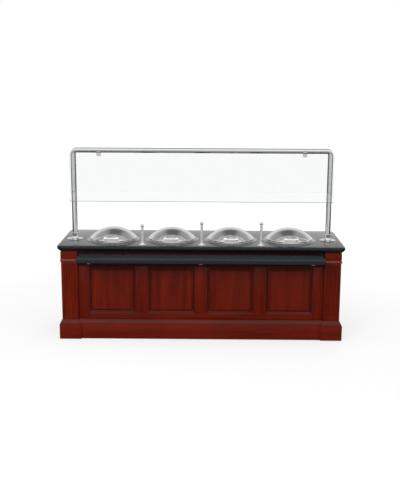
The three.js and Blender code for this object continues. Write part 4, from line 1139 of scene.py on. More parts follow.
class COUNTER_OT_handles(bpy.types.Operator):
    """Turns the grip of each lid's handle and its two arms, and cuts the arms' feet to the dome"""

    bl_idname = "counter.handles"
    bl_label = "Lid handles"

    def execute(self, context):
        arm = self.arm_profile()
        grip = self.grip_profile()
        dome = [(0, LID_BOTTOM), (DOME_EDGE + FIT, LID_BOTTOM)]
        dome += [(radius, dome_height(radius) + FIT) for radius in dome_radii()[::-1]]
        for number in WELL_NUMBERS:
            centre = well_centre(number)
            place = centre + Vector((0, -GRIP_REACH, SKIRT_TOP + GRIP_LIFT))
            at = Matrix.Translation(place) @ Matrix.Rotation(HANDLE_LEAN, 4, "X")
            arms = Shell()
            for side in (-1, 1):
                turned(arms, arm, at @ Matrix.Translation((side * HANDLE_HALF_SPAN, 0, 0)), 32)
            cutter = Shell()
            turned(cutter, dome, Matrix.Translation(centre), CUT_SEGMENTS)
            handle = carved(arms, cutter)
            turned(handle, grip, at @ side_on(), 32)
            name = f"lid_grip_{number}"
            piece(name, handle, [finish("handle")], f"cover_{number}", "chrome", f"lid_handle_{number}")
        return {"FINISHED"}

    def arm_profile(self):
        """An arm with its boss, from its foot up to the grip's axis"""
        boss_top = BOSS_LENGTH - HANDLE_ARM_LENGTH
        arm = [(0, -HANDLE_ARM_LENGTH), (BOSS_RADIUS, -HANDLE_ARM_LENGTH)]
        shoulder = [(BOSS_RADIUS, boss_top - 0.003), (BOSS_RADIUS, boss_top, 0.0015), (0.0098, boss_top)]
        arm += eased(shoulder)[:-1]
        taper = [(radius, boss_top + height) for radius, height in ARM_TAPER]
        return arm + through([*taper, (ARM_END_RADIUS, -0.003)]) + [(ARM_END_RADIUS, 0), (0, 0)]

    def grip_profile(self):
        """The grip from end to end, with a round cap and a groove at each"""
        end = HANDLE_HALF_SPAN + 0.002
        profile = []
        for turn in turns(math.pi / 2, 8):
            profile.append((GRIP_RADIUS * math.sin(turn), end + GRIP_RADIUS * math.cos(turn)))
        return both_sides([*profile, *GRIP_GROOVE])


# Utensil posts

POST_NUMBERS = (1, 2, 3)
POST_BALL_RADIUS = 0.019
POST_FOOT = ((0, 0), (0.0354, 0), (0.036, 0.0006), (0.036, 0.0022))

# The flare and the stem, as (radius, height), and the collar, as (radius, distance under the top, ease)
POST_FLARE = (
    (0.0352, 0.0030), (0.0258, 0.0060), (0.0196, 0.0115), (0.0166, 0.0180), (0.0144, 0.0280),
    (0.0133, 0.0400), (0.0127, 0.0900),
)
POST_STEM_TOP = (0.0120, 0.0540)
POST_COLLAR = (
    (0.0120, 0.0510, 0.0), (0.0142, 0.0500, 0.0008), (0.0142, 0.0450, 0.0008),
    (0.0104, 0.0410, 0.0010), (0.0110, 0.0360, 0.0),
)


class COUNTER_OT_posts(bpy.types.Operator):
    """Turns the utensil posts: a flared foot, a tapering stem and a ball"""

    bl_idname = "counter.posts"
    bl_label = "Utensil posts"

    def execute(self, context):
        for number in POST_NUMBERS:
            low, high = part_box(f"utensil_post_{number}")
            top = high.z - low.z
            profile = list(POST_FOOT)
            profile += through([*POST_FLARE, (POST_STEM_TOP[0], top - POST_STEM_TOP[1])])
            profile += eased([(radius, top - drop, ease) for radius, drop, ease in POST_COLLAR])
            profile += arc((0, top - POST_BALL_RADIUS), POST_BALL_RADIUS, -56, 90, 20)[:-1]
            profile += [(0, top)]
            post = Shell()
            turned(post, profile, Matrix.Translation(((low.x + high.x) / 2, (low.y + high.y) / 2, low.z)))
            piece(f"ball_post_{number}", post, [finish("post")], "cart", "chrome", f"utensil_post_{number}")
        return {"FINISHED"}


# Guard

TUBE_RADIUS = 0.0254
TUBE_WALL = 0.003
TUBE_BEND = 0.030
TUBE_SEGMENTS = 40
LUG_HEIGHT = 1.501
LUG_RADIUS = 0.011
LUG_ROOT = 0.023

# The bell feet, as (radius, height), between their flat foot and their collar
BELL_BORE = TUBE_RADIUS + FIT
BELL_FOOT = ((BELL_BORE, 0), (0.0775, 0), (0.078, 0.0006), (0.078, 0.0034))
BELL_FLARE = (
    (0.0768, 0.0044), (0.070, 0.0066), (0.058, 0.0086), (0.0465, 0.0112), (0.0395, 0.0165),
    (0.0355, 0.0270), (0.0330, 0.0400), (0.0303, 0.0570),
)
BELL_COLLAR = ((0.0298, 0.0620), (0.0290, 0.0638), (BELL_BORE, 0.0640))
BELL_SCREW_CIRCLE = 0.062
BELL_SCREW_HEIGHT = 0.0078
BELL_SCREW_DEGREES = (30, 150, 270)

CLIP_SCREW_HEIGHT = 0.012

# The pane, with its lower edge bent forward by the lip's run along Y and Z
GLASS_THICKNESS = 0.008
GLASS_BEND_HEIGHT = 1.426
GLASS_BEND = 0.024
GLASS_LIP = Vector((0.062, 0.074))
GLASS_EDGE = 0.0008


def guard_path(half_length, foot, top):
    """The tube's centre line as (x, z, degrees towards the outside of the bend)"""
    reach, corner = half_length - TUBE_BEND, top - TUBE_RADIUS - TUBE_BEND
    path = [(-half_length, foot, 180)]
    for side, start in ((-1, 180), (1, 90)):
        for step in range(11):
            degrees = start - 9 * step
            angle = math.radians(degrees)
            x = side * reach + TUBE_BEND * math.cos(angle)
            path.append((x, corner + TUBE_BEND * math.sin(angle), degrees))
    return path + [(half_length, foot, 0)]


class COUNTER_OT_guard(bpy.types.Operator):
    """Bends the guard's tube and adds its lugs, bell feet and the clips that hold the glass"""

    bl_idname = "counter.guard"
    bl_label = "Guard"

    def execute(self, context):
        y = middle_of("guard_flange_left").y
        half_length = middle_of("guard_flange_right").x
        glass_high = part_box("guard_glass")[1]
        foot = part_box("guard_frame")[0].z
        self.add_tube(y, half_length, glass_high.y)
        for name, side in (("left", -1), ("right", 1)):
            self.add_bell_foot(name, (side * half_length, y, foot))
            self.add_clip(name, glass_high)
        return {"FINISHED"}

    def add_tube(self, y, half_length, glass_back):
        low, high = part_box("guard_frame")
        path = guard_path(half_length, low.z, high.z)
        tube = Shell()
        rings = []
        for radius, stations in ((TUBE_RADIUS, path), (TUBE_RADIUS - TUBE_WALL, path[::-1])):
            for x, z, degrees in stations:
                out = Vector((math.cos(math.radians(degrees)), 0, math.sin(math.radians(degrees))))
                ring = []
                for step in range(TUBE_SEGMENTS):
                    turn = 2 * math.pi * step / TUBE_SEGMENTS
                    ring.append(Vector((x, y, z)) + radius * (out * math.cos(turn) + Y * math.sin(turn)))
                rings.append(ring)
        tube.skin(rings, closed=True)
        for x in (-half_length, half_length):
            ends = [(x, glass_back + FIT, LUG_HEIGHT), (x, y - LUG_ROOT, LUG_HEIGHT)]
            rod(tube, *ends, LUG_RADIUS, edge=0.001)
        piece("guard_tube", tube, [finish("chrome")], "cart", "chrome", "guard_frame")

    def add_bell_foot(self, name, place):
        at = Matrix.Translation(place)
        foot = Shell()
        turned(foot, [*BELL_FOOT, *through(BELL_FLARE), *BELL_COLLAR], at, 64, closed=True)
        for degrees in BELL_SCREW_DEGREES:
            turn = math.radians(degrees)
            u, v = BELL_SCREW_CIRCLE * math.cos(turn), BELL_SCREW_CIRCLE * math.sin(turn)
            screw_head(foot, at, u, v, BELL_SCREW_HEIGHT)
        piece(f"bell_foot_{name}", foot, [finish("chrome")], "cart", "chrome", f"guard_flange_{name}")

    def add_clip(self, name, glass_high):
        """A clip over the pane's top edge, drawn from the back round its lip to the slot for the glass"""
        low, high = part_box(f"glass_clip_{name}")
        back = high.y - MIDDLE_Y
        lip = low.y - MIDDLE_Y
        inner = glass_high.y - MIDDLE_Y + FIT
        outer = glass_high.y - MIDDLE_Y - GLASS_THICKNESS - FIT
        edge = glass_high.z + FIT
        outline = eased([
            (back, low.z), (back, high.z), (lip, high.z, 0.005), (lip, low.z, 0.0015),
            (outer, low.z, 0.001), (outer, edge), (inner, edge), (inner, low.z, 0.001),
        ])
        clip = Shell()
        slab(clip, outline, (low.x, high.x), RIGHT, 0.0008)
        face = placed(X, Z, -Y, ((low.x + high.x) / 2, low.y, 0))
        screw_head(clip, face, 0, low.z + CLIP_SCREW_HEIGHT, 0, 0.005)
        piece(f"pane_clip_{name}", clip, [finish("chrome")], "cart", "chrome", f"glass_clip_{name}")


class COUNTER_OT_glass(bpy.types.Operator):
    """Bends the pane: upright behind the guests' side, with its lower edge turned towards them"""

    bl_idname = "counter.glass"
    bl_label = "Glass"

    def execute(self, context):
        low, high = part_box("guard_glass")
        back = high.y - MIDDLE_Y
        face = back - GLASS_THICKNESS
        centre = (face - GLASS_BEND, GLASS_BEND_HEIGHT)
        turn = 90 - math.degrees(math.atan2(GLASS_LIP.y, GLASS_LIP.x))
        outer = arc(centre, GLASS_BEND + GLASS_THICKNESS, 0, -turn, 10)
        inner = arc(centre, GLASS_BEND, -turn, 0, 10)
        lip_back = tuple(Vector(outer[-1]) - GLASS_LIP)
        lip_face = tuple(Vector(inner[0]) - GLASS_LIP)
        outline = [(face, high.z), *inner[::-1], lip_face, lip_back, *outer[::-1], (back, high.z)]
        profile = [
            (GLASS_EDGE, high.x), (0, high.x - GLASS_EDGE), (0, low.x + GLASS_EDGE), (GLASS_EDGE, low.x),
        ]
        glass = Shell()
        swept(glass, outline, profile, RIGHT)
        # The faces across the pane's ends, its top and its foot are ground
        for index, corners in enumerate(glass.faces):
            points = [glass.points[corner] for corner in corners]
            at_end = max(point.x for point in points) - min(point.x for point in points) < 0.01
            at_top = min(point.z for point in points) > high.z - 0.0001
            at_foot = max(point.z for point in points) < low.z + 0.006
            glass.finishes[index] = 1 if at_end or at_top or at_foot else 0
        piece("guard_pane", glass, [finish("glass"), finish("glass_edge")], "cart", "glass", "guard_glass")
        return {"FINISHED"}


# Tray slide

ARM_NAMES = ("left", "centre", "right")
TRAY_CORNER_RADIUS = 0.014
TRAY_EDGE = 0.007
TRAY_PIN_RADIUS = 0.005
ARM_KNUCKLE = 0.011
ARM_HALF_WIDTH = 0.015
ARM_NOSE_THICKNESS = 0.012

# An arm's lower edge bends towards a point behind its nose and under its top, and ends at its root
ARM_BEND = (0.094, 0.018)
ARM_ROOT = (-0.024, -ARM_KNUCKLE + 0.003)
ARM_HEEL = 0.004
RAIL_THICKNESS = 0.006
RAIL_EAR_FOOT = 0.020
RAIL_EAR_GAP = 0.001
RAIL_EAR_THICKNESS = 0.006
RAIL_SCREWS = 12
RAIL_SCREW_PITCH = 0.18
RAIL_SCREW_INSET = 0.011


class COUNTER_OT_tray(bpy.types.Operator):
    """Casts the tray slide, forges its three arms and screws their hinge rail to the body"""

    bl_idname = "counter.tray"
    bl_label = "Tray slide"

    def execute(self, context):
        low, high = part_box("tray_slab")
        slide = Shell()
        outline = rounded((low.x, high.x), (low.y, high.y), TRAY_CORNER_RADIUS, 6)
        slab(slide, outline, (low.z, high.z), FLAT, TRAY_EDGE, 5)
        piece("tray_slide", slide, [finish("tray")], "tray", "solid_surface", "tray_slab")
        at = side_on((0, TRAY_PIVOT[1], TRAY_PIVOT[2]))
        for name in ARM_NAMES:
            self.add_arm(name, at)
        self.add_hinge_rail(at)
        return {"FINISHED"}

    def add_arm(self, name, at):
        """An arm that tapers from its knuckle to its nose, drawn from the pin it turns on"""
        node = f"tray_arm_{name}"
        low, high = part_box(node)
        x = (low.x + high.x) / 2
        top, nose = high.z - TRAY_PIVOT[2], low.y - TRAY_PIVOT[1]
        under = ((nose, top - ARM_NOSE_THICKNESS), (nose + ARM_BEND[0], top - ARM_BEND[1]), ARM_ROOT)
        bend = [quadratic(*under, step / 12) for step in range(13)]
        outline = [(nose, top)] + eased([(nose, top), (*bend[0], 0.004), bend[1]])[1:] + bend[2:]
        outline += arc((0, 0), ARM_KNUCKLE, -90, 0, 8) + [(ARM_HEEL, top)]
        blade = Shell()
        sides = (x - ARM_HALF_WIDTH, x + ARM_HALF_WIDTH)
        slab(blade, outline, sides, at, 0.0015, 3)
        hole = Shell()
        bore = TRAY_PIN_RADIUS + FIT
        turned(hole, [(bore, sides[0] - OVERRUN), (bore, sides[1] + OVERRUN)], at, 32)
        arm = carved(blade, hole)
        piece(f"tray_bracket_{name}", arm, [finish("chrome")], "tray", "chrome", node)

    def add_hinge_rail(self, at):
        """The rail on the front frame, with two ears and a pin for each arm"""
        low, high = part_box("tray_hinge_rail")
        rail = Shell()
        plate = placed(X, Z, -Y, (0, high.y, 0))
        plank(rail, plate, (low.x, high.x), (low.z, high.z), (0, RAIL_THICKNESS), "u", 0.001)
        to_plate = high.y - TRAY_PIVOT[1]
        ear = [(to_plate, RAIL_EAR_FOOT), *arc((0, 0), ARM_KNUCKLE, 90, 270, 12), (to_plate, -RAIL_EAR_FOOT)]
        inner = ARM_HALF_WIDTH + RAIL_EAR_GAP
        outer = inner + RAIL_EAR_THICKNESS
        for name in ARM_NAMES:
            x = middle_of(f"tray_arm_{name}").x
            for heights in ((x - outer, x - inner), (x + inner, x + outer)):
                slab(rail, ear, heights, at, 0.0006)
            ends = [(x + side * (outer + PIN_OVERHANG), TRAY_PIVOT[1], TRAY_PIVOT[2]) for side in (-1, 1)]
            rod(rail, *ends, TRAY_PIN_RADIUS)
        for step in range(RAIL_SCREWS):
            u = RAIL_SCREW_PITCH * (step - (RAIL_SCREWS - 1) / 2)
            for v in (low.z + RAIL_SCREW_INSET, high.z - RAIL_SCREW_INSET):
                screw_head(rail, plate, u, v, RAIL_THICKNESS)
        piece("hinge_rail", rail, [finish("steel")], "cart", "steel", "tray_hinge_rail")


# Wooden body

FRAME_THICKNESS = 0.022
# Painted shadow on the front's top rail, where the stone's overhang casts its shadow
TOP_RAIL_PAINTED_SHADOW = 0.8
PANEL_WIDTH = 0.460
SIDE_PANEL_WIDTH = 0.410

# A panel's moulding and its raised field. Depths are under the face of the frame
PANEL_BACK = 0.020
MOULDING_WIDTH = 0.0200
MOULDING_BEAD = (0.0032, 0.0001)
MOULDING_BEAD_RADII = (0.0026, 0.0018)
MOULDING_SLOPE = (
    (0.0068, 0.0002), (0.0094, 0.0022), (0.0122, 0.0054), (0.0150, 0.0086), (0.0178, 0.0110),
    (0.0196, 0.0122),
)
# Painted shade down the moulding's slope
MOULDING_PAINTED_SHADE = 0.5
GROOVE_WIDTH = 0.0025
GROOVE_DEPTH = 0.0130
BEVEL_TOP = GROOVE_WIDTH + 0.0180
# Painted shade on the field's bevel
BEVEL_PAINTED_SHADE = 0.2
FIELD_DEPTH = 0.0030


def framed(name, node, place, openings, face, half_length, top_painted_shadow=0.0):
    """Joins stiles and rails round a row of openings. The top rail runs over the stiles with its own painted
    shadow, where the stone's overhang shades it
    """
    wood = bpy.context.scene.counter_wood
    low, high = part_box(node)
    edge, gap = wood.board_edge, wood.joint_gap / 2
    depth = (face - FRAME_THICKNESS, face)
    bottom, top = openings[0][1]
    first, last = openings[0][0][0], openings[-1][0][1]
    boards = Shell()
    for us in ((-half_length, first), (last, half_length)):
        plank(boards, place, us, (low.z, top - gap), depth, "v", edge)
    plank(boards, place, (first + gap, last - gap), (low.z, bottom), depth, "u", edge)
    # The top rail is painted with the shadow that falls under the stone
    start = len(boards.points)
    plank(boards, place, (-half_length, half_length), (top, high.z), depth, "u", edge)
    boards.glaze[start:] = [top_painted_shadow] * (len(boards.points) - start)
    for ((_, left), _), ((right, _), _) in zip(openings, openings[1:]):
        plank(boards, place, (left, right), (bottom + gap, top - gap), depth, "v", edge)
    piece(name, boards, [finish("wood")], "cart", "wood", node)


def moulding_profile(face):
    """From the back up an edge, over a bead and down a slope to the groove, as (inset, height, painted shade)
    """
    # The quirks beside the bead and at the foot of the slope get the darkest painted shade
    profile = [(-0.9 * FIT, face - PANEL_BACK), (0, face - 0.0020, 0.9), (0.0003, face - 0.0006, 0.9)]
    (middle, rise), (reach, swell) = MOULDING_BEAD, MOULDING_BEAD_RADII
    for turn in turns(math.pi, 8):
        profile.append((middle - reach * math.cos(turn), face + rise + swell * math.sin(turn)))
    profile += [(0.0059, face - 0.0006, 1.0), (0.0064, face - 0.0006, 0.8)]
    slope = through([(inset, face - depth) for inset, depth in MOULDING_SLOPE])
    profile += [(inset, height, MOULDING_PAINTED_SHADE) for inset, height in slope]
    profile += [(MOULDING_WIDTH, face - GROOVE_DEPTH + 0.0003, 1.0), (MOULDING_WIDTH, face - PANEL_BACK)]
    return profile


def field_profile(face):
    """From the flat field over its edge and down the bevel to the groove, as (inset, height, painted shade)
    """
    field, groove = face - FIELD_DEPTH, face - GROOVE_DEPTH
    profile = [
        (BEVEL_TOP, field),
        (BEVEL_TOP - 0.0004, field - 0.0004, 0.4),
        (BEVEL_TOP - 0.0007, field - 0.0018, 1.0),
        (BEVEL_TOP - 0.0012, field - 0.0020, 0.5),
    ]
    bevel = through([
        (BEVEL_TOP - 0.0020, field - 0.0024), (0.0130, groove + 0.0044), (0.0060, groove + 0.0012),
        (GROOVE_WIDTH + 0.0006, groove + 0.0003),
    ])
    profile += [(inset, height, BEVEL_PAINTED_SHADE) for inset, height in bevel]
    return profile + [(GROOVE_WIDTH, groove, 0.9), (0, groove, 1.0), (0, face - PANEL_BACK)]


def raised_panel(name, node, place, centre, width, face, levels):
    """A raised panel in a mitred moulding, whose back flares out to close the joint with the frame"""
    us = (centre - width / 2 + FIT, centre + width / 2 - FIT)
    vs = (levels[0] + FIT, levels[1] - FIT)
    turn = place.to_3x3()
    along, up, outward = turn.col[0], turn.col[1], turn.col[2]
    mitred = [Board(side, outward) for side in (along, up, -along, -up)]
    panel = Shell()
    swept(panel, rectangle(us, vs), moulding_profile(face), place, closed=True, finish=1, boards=mitred)
    inset = MOULDING_WIDTH + 0.0001
    outline = rectangle((us[0] + inset, us[1] - inset), (vs[0] + inset, vs[1] - inset))
    swept(panel, outline, field_profile(face), place, boards=Board(up, outward))
    piece(name, panel, [finish("wood"), finish("moulding")], "cart", "wood", node)


class COUNTER_OT_framing(bpy.types.Operator):
    """Frames the front and both ends with stiles, rails and raised panels"""

    bl_idname = "counter.framing"
    bl_label = "Framing and panels"

    def execute(self, context):
        panel_low, panel_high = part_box("front_panel_1")
        levels = (panel_low.z - FIT, panel_high.z + FIT)
        face = MIDDLE_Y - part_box("front_frame")[0].y
        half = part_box("front_frame")[1].x
        centres = [middle_of(f"front_panel_{number}").x for number in PANEL_NUMBERS]
        openings = [((x - PANEL_WIDTH / 2, x + PANEL_WIDTH / 2), levels) for x in centres]
        framed("front_boards", "front_frame", FRONT, openings, face, half, TOP_RAIL_PAINTED_SHADOW)
        for number, x in zip(PANEL_NUMBERS, centres):
            node = f"front_panel_{number}"
            raised_panel(f"front_moulding_{number}", node, FRONT, x, PANEL_WIDTH, face, levels)
        opening = [((-SIDE_PANEL_WIDTH / 2, SIDE_PANEL_WIDTH / 2), levels)]
        for name, place in (("left", LEFT), ("right", RIGHT)):
            low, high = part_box(f"side_frame_{name}")
            face = max(abs(low.x), abs(high.x))
            half = (high.y - low.y) / 2
            framed(f"side_boards_{name}", f"side_frame_{name}", place, opening, face, half)
            node = f"side_panel_{name}"
            raised_panel(f"side_moulding_{name}", node, place, 0, SIDE_PANEL_WIDTH, face, levels)
        return {"FINISHED"}


# The openings in the operator's side, along its length and by height
BAY_INNER = 0.030
BAY_OUTER = 1.120
BAY_LEVELS = (0.222, 0.690)
CONTROL_HALF_LENGTH = 1.060
CONTROL_LEVELS = (0.730, 0.860)


class COUNTER_OT_rear_framing(bpy.types.Operator):
    """Frames the operator's side round the two storage bays and the control panel"""

    bl_idname = "counter.rear_framing"
    bl_label = "Rear framing"

    def execute(self, context):
        wood = context.scene.counter_wood
        low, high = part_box("rear_frame")
        face = high.y - MIDDLE_Y
        depth = (face - FRAME_THICKNESS, face)
        edge, gap = wood.board_edge, wood.joint_gap / 2
        boards = Shell()
        for side in (-1, 1):
            us = sorted((side * BAY_OUTER, side * high.x))
            plank(boards, REAR, us, (low.z, high.z), depth, "v", edge)
            us = sorted((side * CONTROL_HALF_LENGTH, side * (BAY_OUTER - gap)))
            plank(boards, REAR, us, (CONTROL_LEVELS[0] + gap, CONTROL_LEVELS[1] - gap), depth, "v", edge)
        inner = (-BAY_OUTER + gap, BAY_OUTER - gap)
        for vs in ((low.z, BAY_LEVELS[0]), (BAY_LEVELS[1], CONTROL_LEVELS[0]), (CONTROL_LEVELS[1], high.z)):
            plank(boards, REAR, inner, vs, depth, "u", edge)
        vs = (BAY_LEVELS[0] + gap, BAY_LEVELS[1] - gap)
        plank(boards, REAR, (-BAY_INNER, BAY_INNER), vs, depth, "v", edge)
        piece("rear_boards", boards, [finish("wood")], "cart", "wood", "rear_frame")
        return {"FINISHED"}


# Pilasters

BEAD_PROJECTION = 0.009
CAP_BOTTOM = 0.803
CAP_GAP = 0.010
FLUTE_RADIUS = 0.008
FLUTE_CENTRE = 0.002
FLUTE_PITCH = 0.025
FLUTE_LEVELS = (0.241, 0.748)
FRONT_FLUTES = 5
SIDE_FLUTES = 3

# The bead under the cap, as (how far it stands out, distance under the cap)
BEAD_CURVE = (
    (0.0024, 0.0018), (0.0038, 0.0050), (0.0056, 0.0100), (0.0076, 0.0150), (0.0088, 0.0190),
    (0.0088, 0.0220), (0.0072, 0.0246), (0.0040, 0.0258), (0.0008, 0.0262),
)


def flute(shell, x, y):
    """A round-ended cutter for one flute"""
    low, high = FLUTE_LEVELS
    rounding = []
    for turn in turns(math.pi / 2, 6):
        rounding.append((FLUTE_RADIUS * math.sin(turn), FLUTE_RADIUS * math.cos(turn)))
    profile = [(0, low - FLUTE_RADIUS)]
    profile += [(radius, low - reach) for radius, reach in rounding[1:]]
    profile += [(radius, high + reach) for reach, radius in rounding[:-1]]
    profile += [(0, high + FLUTE_RADIUS)]
    turned(shell, profile, Matrix.Translation((x, y, 0)), 32)


class COUNTER_OT_pilasters(bpy.types.Operator):
    """Flutes the corner pilasters and wraps a bead and a cap block round their heads"""

    bl_idname = "counter.pilasters"
    bl_label = "Pilasters"

    def execute(self, context):
        for corner in CORNERS:
            node = f"pilaster_{corner}"
            low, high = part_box(node)
            outer_x = -1 if corner.endswith("left") else 1
            outer_y = -1 if corner.startswith("front") else 1
            xs = (low.x + BEAD_PROJECTION, high.x) if outer_x < 0 else (low.x, high.x - BEAD_PROJECTION)
            ys = (low.y + BEAD_PROJECTION, high.y) if outer_y < 0 else (low.y, high.y - BEAD_PROJECTION)
            board = Board(Z, (0, outer_y, 0))
            shaft = Shell()
            slab(shaft, rounded(xs, ys, 0.002), (low.z, high.z), FLAT, 0.001, boards=board)
            column = carved(shaft, self.flutes(xs, ys, outer_x, outer_y), board)
            wrap_xs = (xs[0], xs[1] - BEAD_PROJECTION) if outer_x < 0 else (xs[0] + BEAD_PROJECTION, xs[1])
            wrap_ys = (ys[0], ys[1] - BEAD_PROJECTION) if outer_y < 0 else (ys[0] + BEAD_PROJECTION, ys[1])
            outline = rectangle(wrap_xs, wrap_ys)
            sides = [Board(along, out) for along, out in ((X, -Y), (Y, X), (-X, Y), (-Y, -X))]
            swept(column, outline, self.bead_profile(), FLAT, closed=True, finish=1, boards=sides)
            swept(column, outline, self.cap_profile(high.z - CAP_GAP), FLAT, closed=True, boards=sides)
            materials = [finish("wood"), finish("moulding")]
            piece(f"fluted_pilaster_{corner}", column, materials, "cart", "wood", node)
        return {"FINISHED"}

    def flutes(self, xs, ys, outer_x, outer_y):
        """Cutters for the flutes of a pilaster's two outer faces"""
        cutters = Shell()
        face_x = xs[0] if outer_x < 0 else xs[1]
        face_y = ys[0] if outer_y < 0 else ys[1]
        for step in range(FRONT_FLUTES):
            x = sum(xs) / 2 + (step - FRONT_FLUTES // 2) * FLUTE_PITCH
            flute(cutters, x, face_y + outer_y * FLUTE_CENTRE)
        for step in range(SIDE_FLUTES):
            y = sum(ys) / 2 + (step - SIDE_FLUTES // 2) * FLUTE_PITCH
            flute(cutters, face_x + outer_x * FLUTE_CENTRE, y)
        return cutters

    def bead_profile(self):
        """From the wood out along the bead and back, as (inset, height, painted shade)"""
        curve = through([(-reach, CAP_BOTTOM - drop) for reach, drop in BEAD_CURVE])
        start = [(0.002, CAP_BOTTOM, 1.0), (-0.0008, CAP_BOTTOM - 0.0004, 1.0)]
        return start + curve + [(0.002, CAP_BOTTOM - 0.0266, 1.0)]

    def cap_profile(self, top):
        """The cap block from its top down to the bead, as (inset, height, painted shade)"""
        cap = [(0.002, top), (-0.0004, top, 0.7), (-0.001, top - 0.002)]
        cap += through([(-0.0012, top - 0.0026), (-0.0020, top - 0.0046), (-0.003, top - 0.0060)])
        bottom = CAP_BOTTOM + 0.0004
        return cap + [(-0.003, CAP_BOTTOM + 0.002), (-0.0022, bottom, 0.9), (0.002, bottom)]


# Plinth

PLINTH_STEP = 0.018
PLINTH_THICKNESS = 0.052
PLINTH_BLOCK = 0.209
PLINTH_SIDE_BLOCK = 0.161
PLINTH_BOARD_TOP = 0.153
# Painted shade on the plinth's cove, darkening a moulding that faces up into the light
COVE_PAINTED_SHADE = 0.35

# The hollow of the plinth's moulding, as (inset, distance under the top)
PLINTH_COVE = (
    (0.0212, 0.0056), (0.0184, 0.0100), (0.0156, 0.0154), (0.0124, 0.0212), (0.0092, 0.0276),
    (0.0062, 0.0342), (0.0046, 0.0392),
)


class COUNTER_OT_plinth(bpy.types.Operator):
    """Runs the moulded skirting round the foot, breaking forward under each pilaster"""

    bl_idname = "counter.plinth"
    bl_label = "Plinth"

    def execute(self, context):
        low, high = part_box("plinth")
        far_x, far_y = high.x, (high.y - low.y) / 2
        near_x, near_y = far_x - PLINTH_STEP, far_y - PLINTH_STEP
        block_x, block_y = far_x - PLINTH_BLOCK, far_y - PLINTH_SIDE_BLOCK
        outline = round_the_middle([
            (near_x, block_y), (far_x, block_y), (far_x, far_y), (block_x, far_y), (block_x, near_y),
        ])
        boards = []
        for (u0, v0), (u1, v1) in zip(outline, outline[1:] + outline[:1]):
            along = Vector((u1 - u0, v1 - v0, 0)).normalized()
            boards.append(Board(along, (along.y, -along.x, 0)))
        skirting = Shell()
        place = Matrix.Translation(BODY_AXIS)
        swept(skirting, outline, self.profile(low.z, high.z), place, closed=True, boards=boards)
        piece("moulded_plinth", skirting, [finish("wood")], "cart", "wood", "plinth")
        return {"FINISHED"}

    def profile(self, foot, top):
        """From the back over the moulding and down the board to its foot, as (inset, height, painted shade)
        """
        board_top = PLINTH_BOARD_TOP
        profile = [
            (PLINTH_THICKNESS, top), (0.0242, top), (0.0234, top - 0.0008), (0.0228, top - 0.0034),
            (0.0220, top - 0.0042, 0.7),
        ]
        cove = through([(inset, top - drop) for inset, drop in PLINTH_COVE])
        profile += [(inset, height, COVE_PAINTED_SHADE) for inset, height in cove]
        return profile + [
            (0.0042, board_top + 0.0078, 0.8), (0.0030, board_top + 0.0074), (0.0030, board_top + 0.0032),
            (0.0022, board_top + 0.0014, 0.9), (0.0004, board_top + 0.0006, 0.6), (0.0, board_top - 0.0004),
            (0.0, foot + 0.0016), (0.0016, foot), (PLINTH_THICKNESS, foot),
        ]


# Storage

STORAGE_EDGE = 0.0012
PARTITION_HALF_THICKNESS = 0.009


class COUNTER_OT_storage(bpy.types.Operator):
    """Lays the floor, the shelf and the partition of the storage bays"""

    bl_idname = "counter.storage"
    bl_label = "Storage"

    def execute(self, context):
        self.add_board("floor_deck")
        self.add_board("storage_shelf", notched=True)
        self.add_partition()
        return {"FINISHED"}

    def add_board(self, node, notched=False):
        """A board cut out round the pilasters. The notched one also takes the partition in its front half"""
        pilaster_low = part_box("pilaster_rear_right")[0]
        corner_x = pilaster_low.x - FIT
        corner_y = pilaster_low.y - MIDDLE_Y - FIT
        low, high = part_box(node)
        half_y = (high.y - low.y) / 2
        outline = round_the_middle([(high.x, corner_y), (corner_x, corner_y), (corner_x, half_y)])
        wood = Board(X, Z)
        board = Shell()
        place = Matrix.Translation(BODY_AXIS)
        slab(board, outline, (low.z, high.z), place, STORAGE_EDGE, boards=wood)
        if notched:
            notch = Shell()
            half = PARTITION_HALF_THICKNESS + FIT
            cut = rectangle((-half, half), (-half_y - OVERRUN, FIT))
            swept(notch, cut, [(0, high.z + OVERRUN), (0, low.z - OVERRUN)], place)
            board = carved(board, notch, wood)
        piece(f"{node}_board", board, [finish("inner_wood")], "cart", "inner_wood", node)

    def add_partition(self):
        """The upright board between the bays, notched for the shelf and the control panel"""
        low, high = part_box("centre_partition")
        shelf_low, shelf_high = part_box("storage_shelf")
        control_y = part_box("control_panel")[0].y
        wood = Board(Z, X)
        wall = Shell()
        outline = rounded((low.y, high.y), (low.z, high.z), 0.0015)
        slab(wall, outline, (low.x, high.x), side_on(), STORAGE_EDGE, boards=wood)
        control_levels = (CONTROL_LEVELS[0] - FIT, CONTROL_LEVELS[1] + FIT)
        cuts = (
            rectangle((MIDDLE_Y, high.y + OVERRUN), (shelf_low.z - FIT, shelf_high.z + FIT)),
            rectangle((control_y - FIT, high.y + OVERRUN), control_levels),
        )
        notches = Shell()
        for cut in cuts:
            swept(notches, cut, [(0, high.x + OVERRUN), (0, low.x - OVERRUN)], side_on())
        wall = carved(wall, notches, wood)
        piece("partition_board", wall, [finish("inner_wood")], "cart", "inner_wood", "centre_partition")


# Controls

FASCIA_THICKNESS = 0.002
CONTROL_WALL = 0.003
CONTROL_MIDDLE_Z = (CONTROL_LEVELS[0] + CONTROL_LEVELS[1]) / 2
FASCIA_SCREW_US = (-0.58, 0.0, 0.58)
FASCIA_SCREW_INSET = (0.012, 0.009)
SHAFT_RADIUS = 0.004
SHAFT_LENGTH = 0.012

# The dials: marks and figures round each knob
DIAL_STEPS = 7
DIAL_SWEEP = 270.0
DIAL_MARK = ((0.0285, 0.0345), (-0.0005, 0.0005), (-0.0001, 0.0002))
FIGURE_CIRCLE = 0.041
FIGURE_SIZE = 0.009

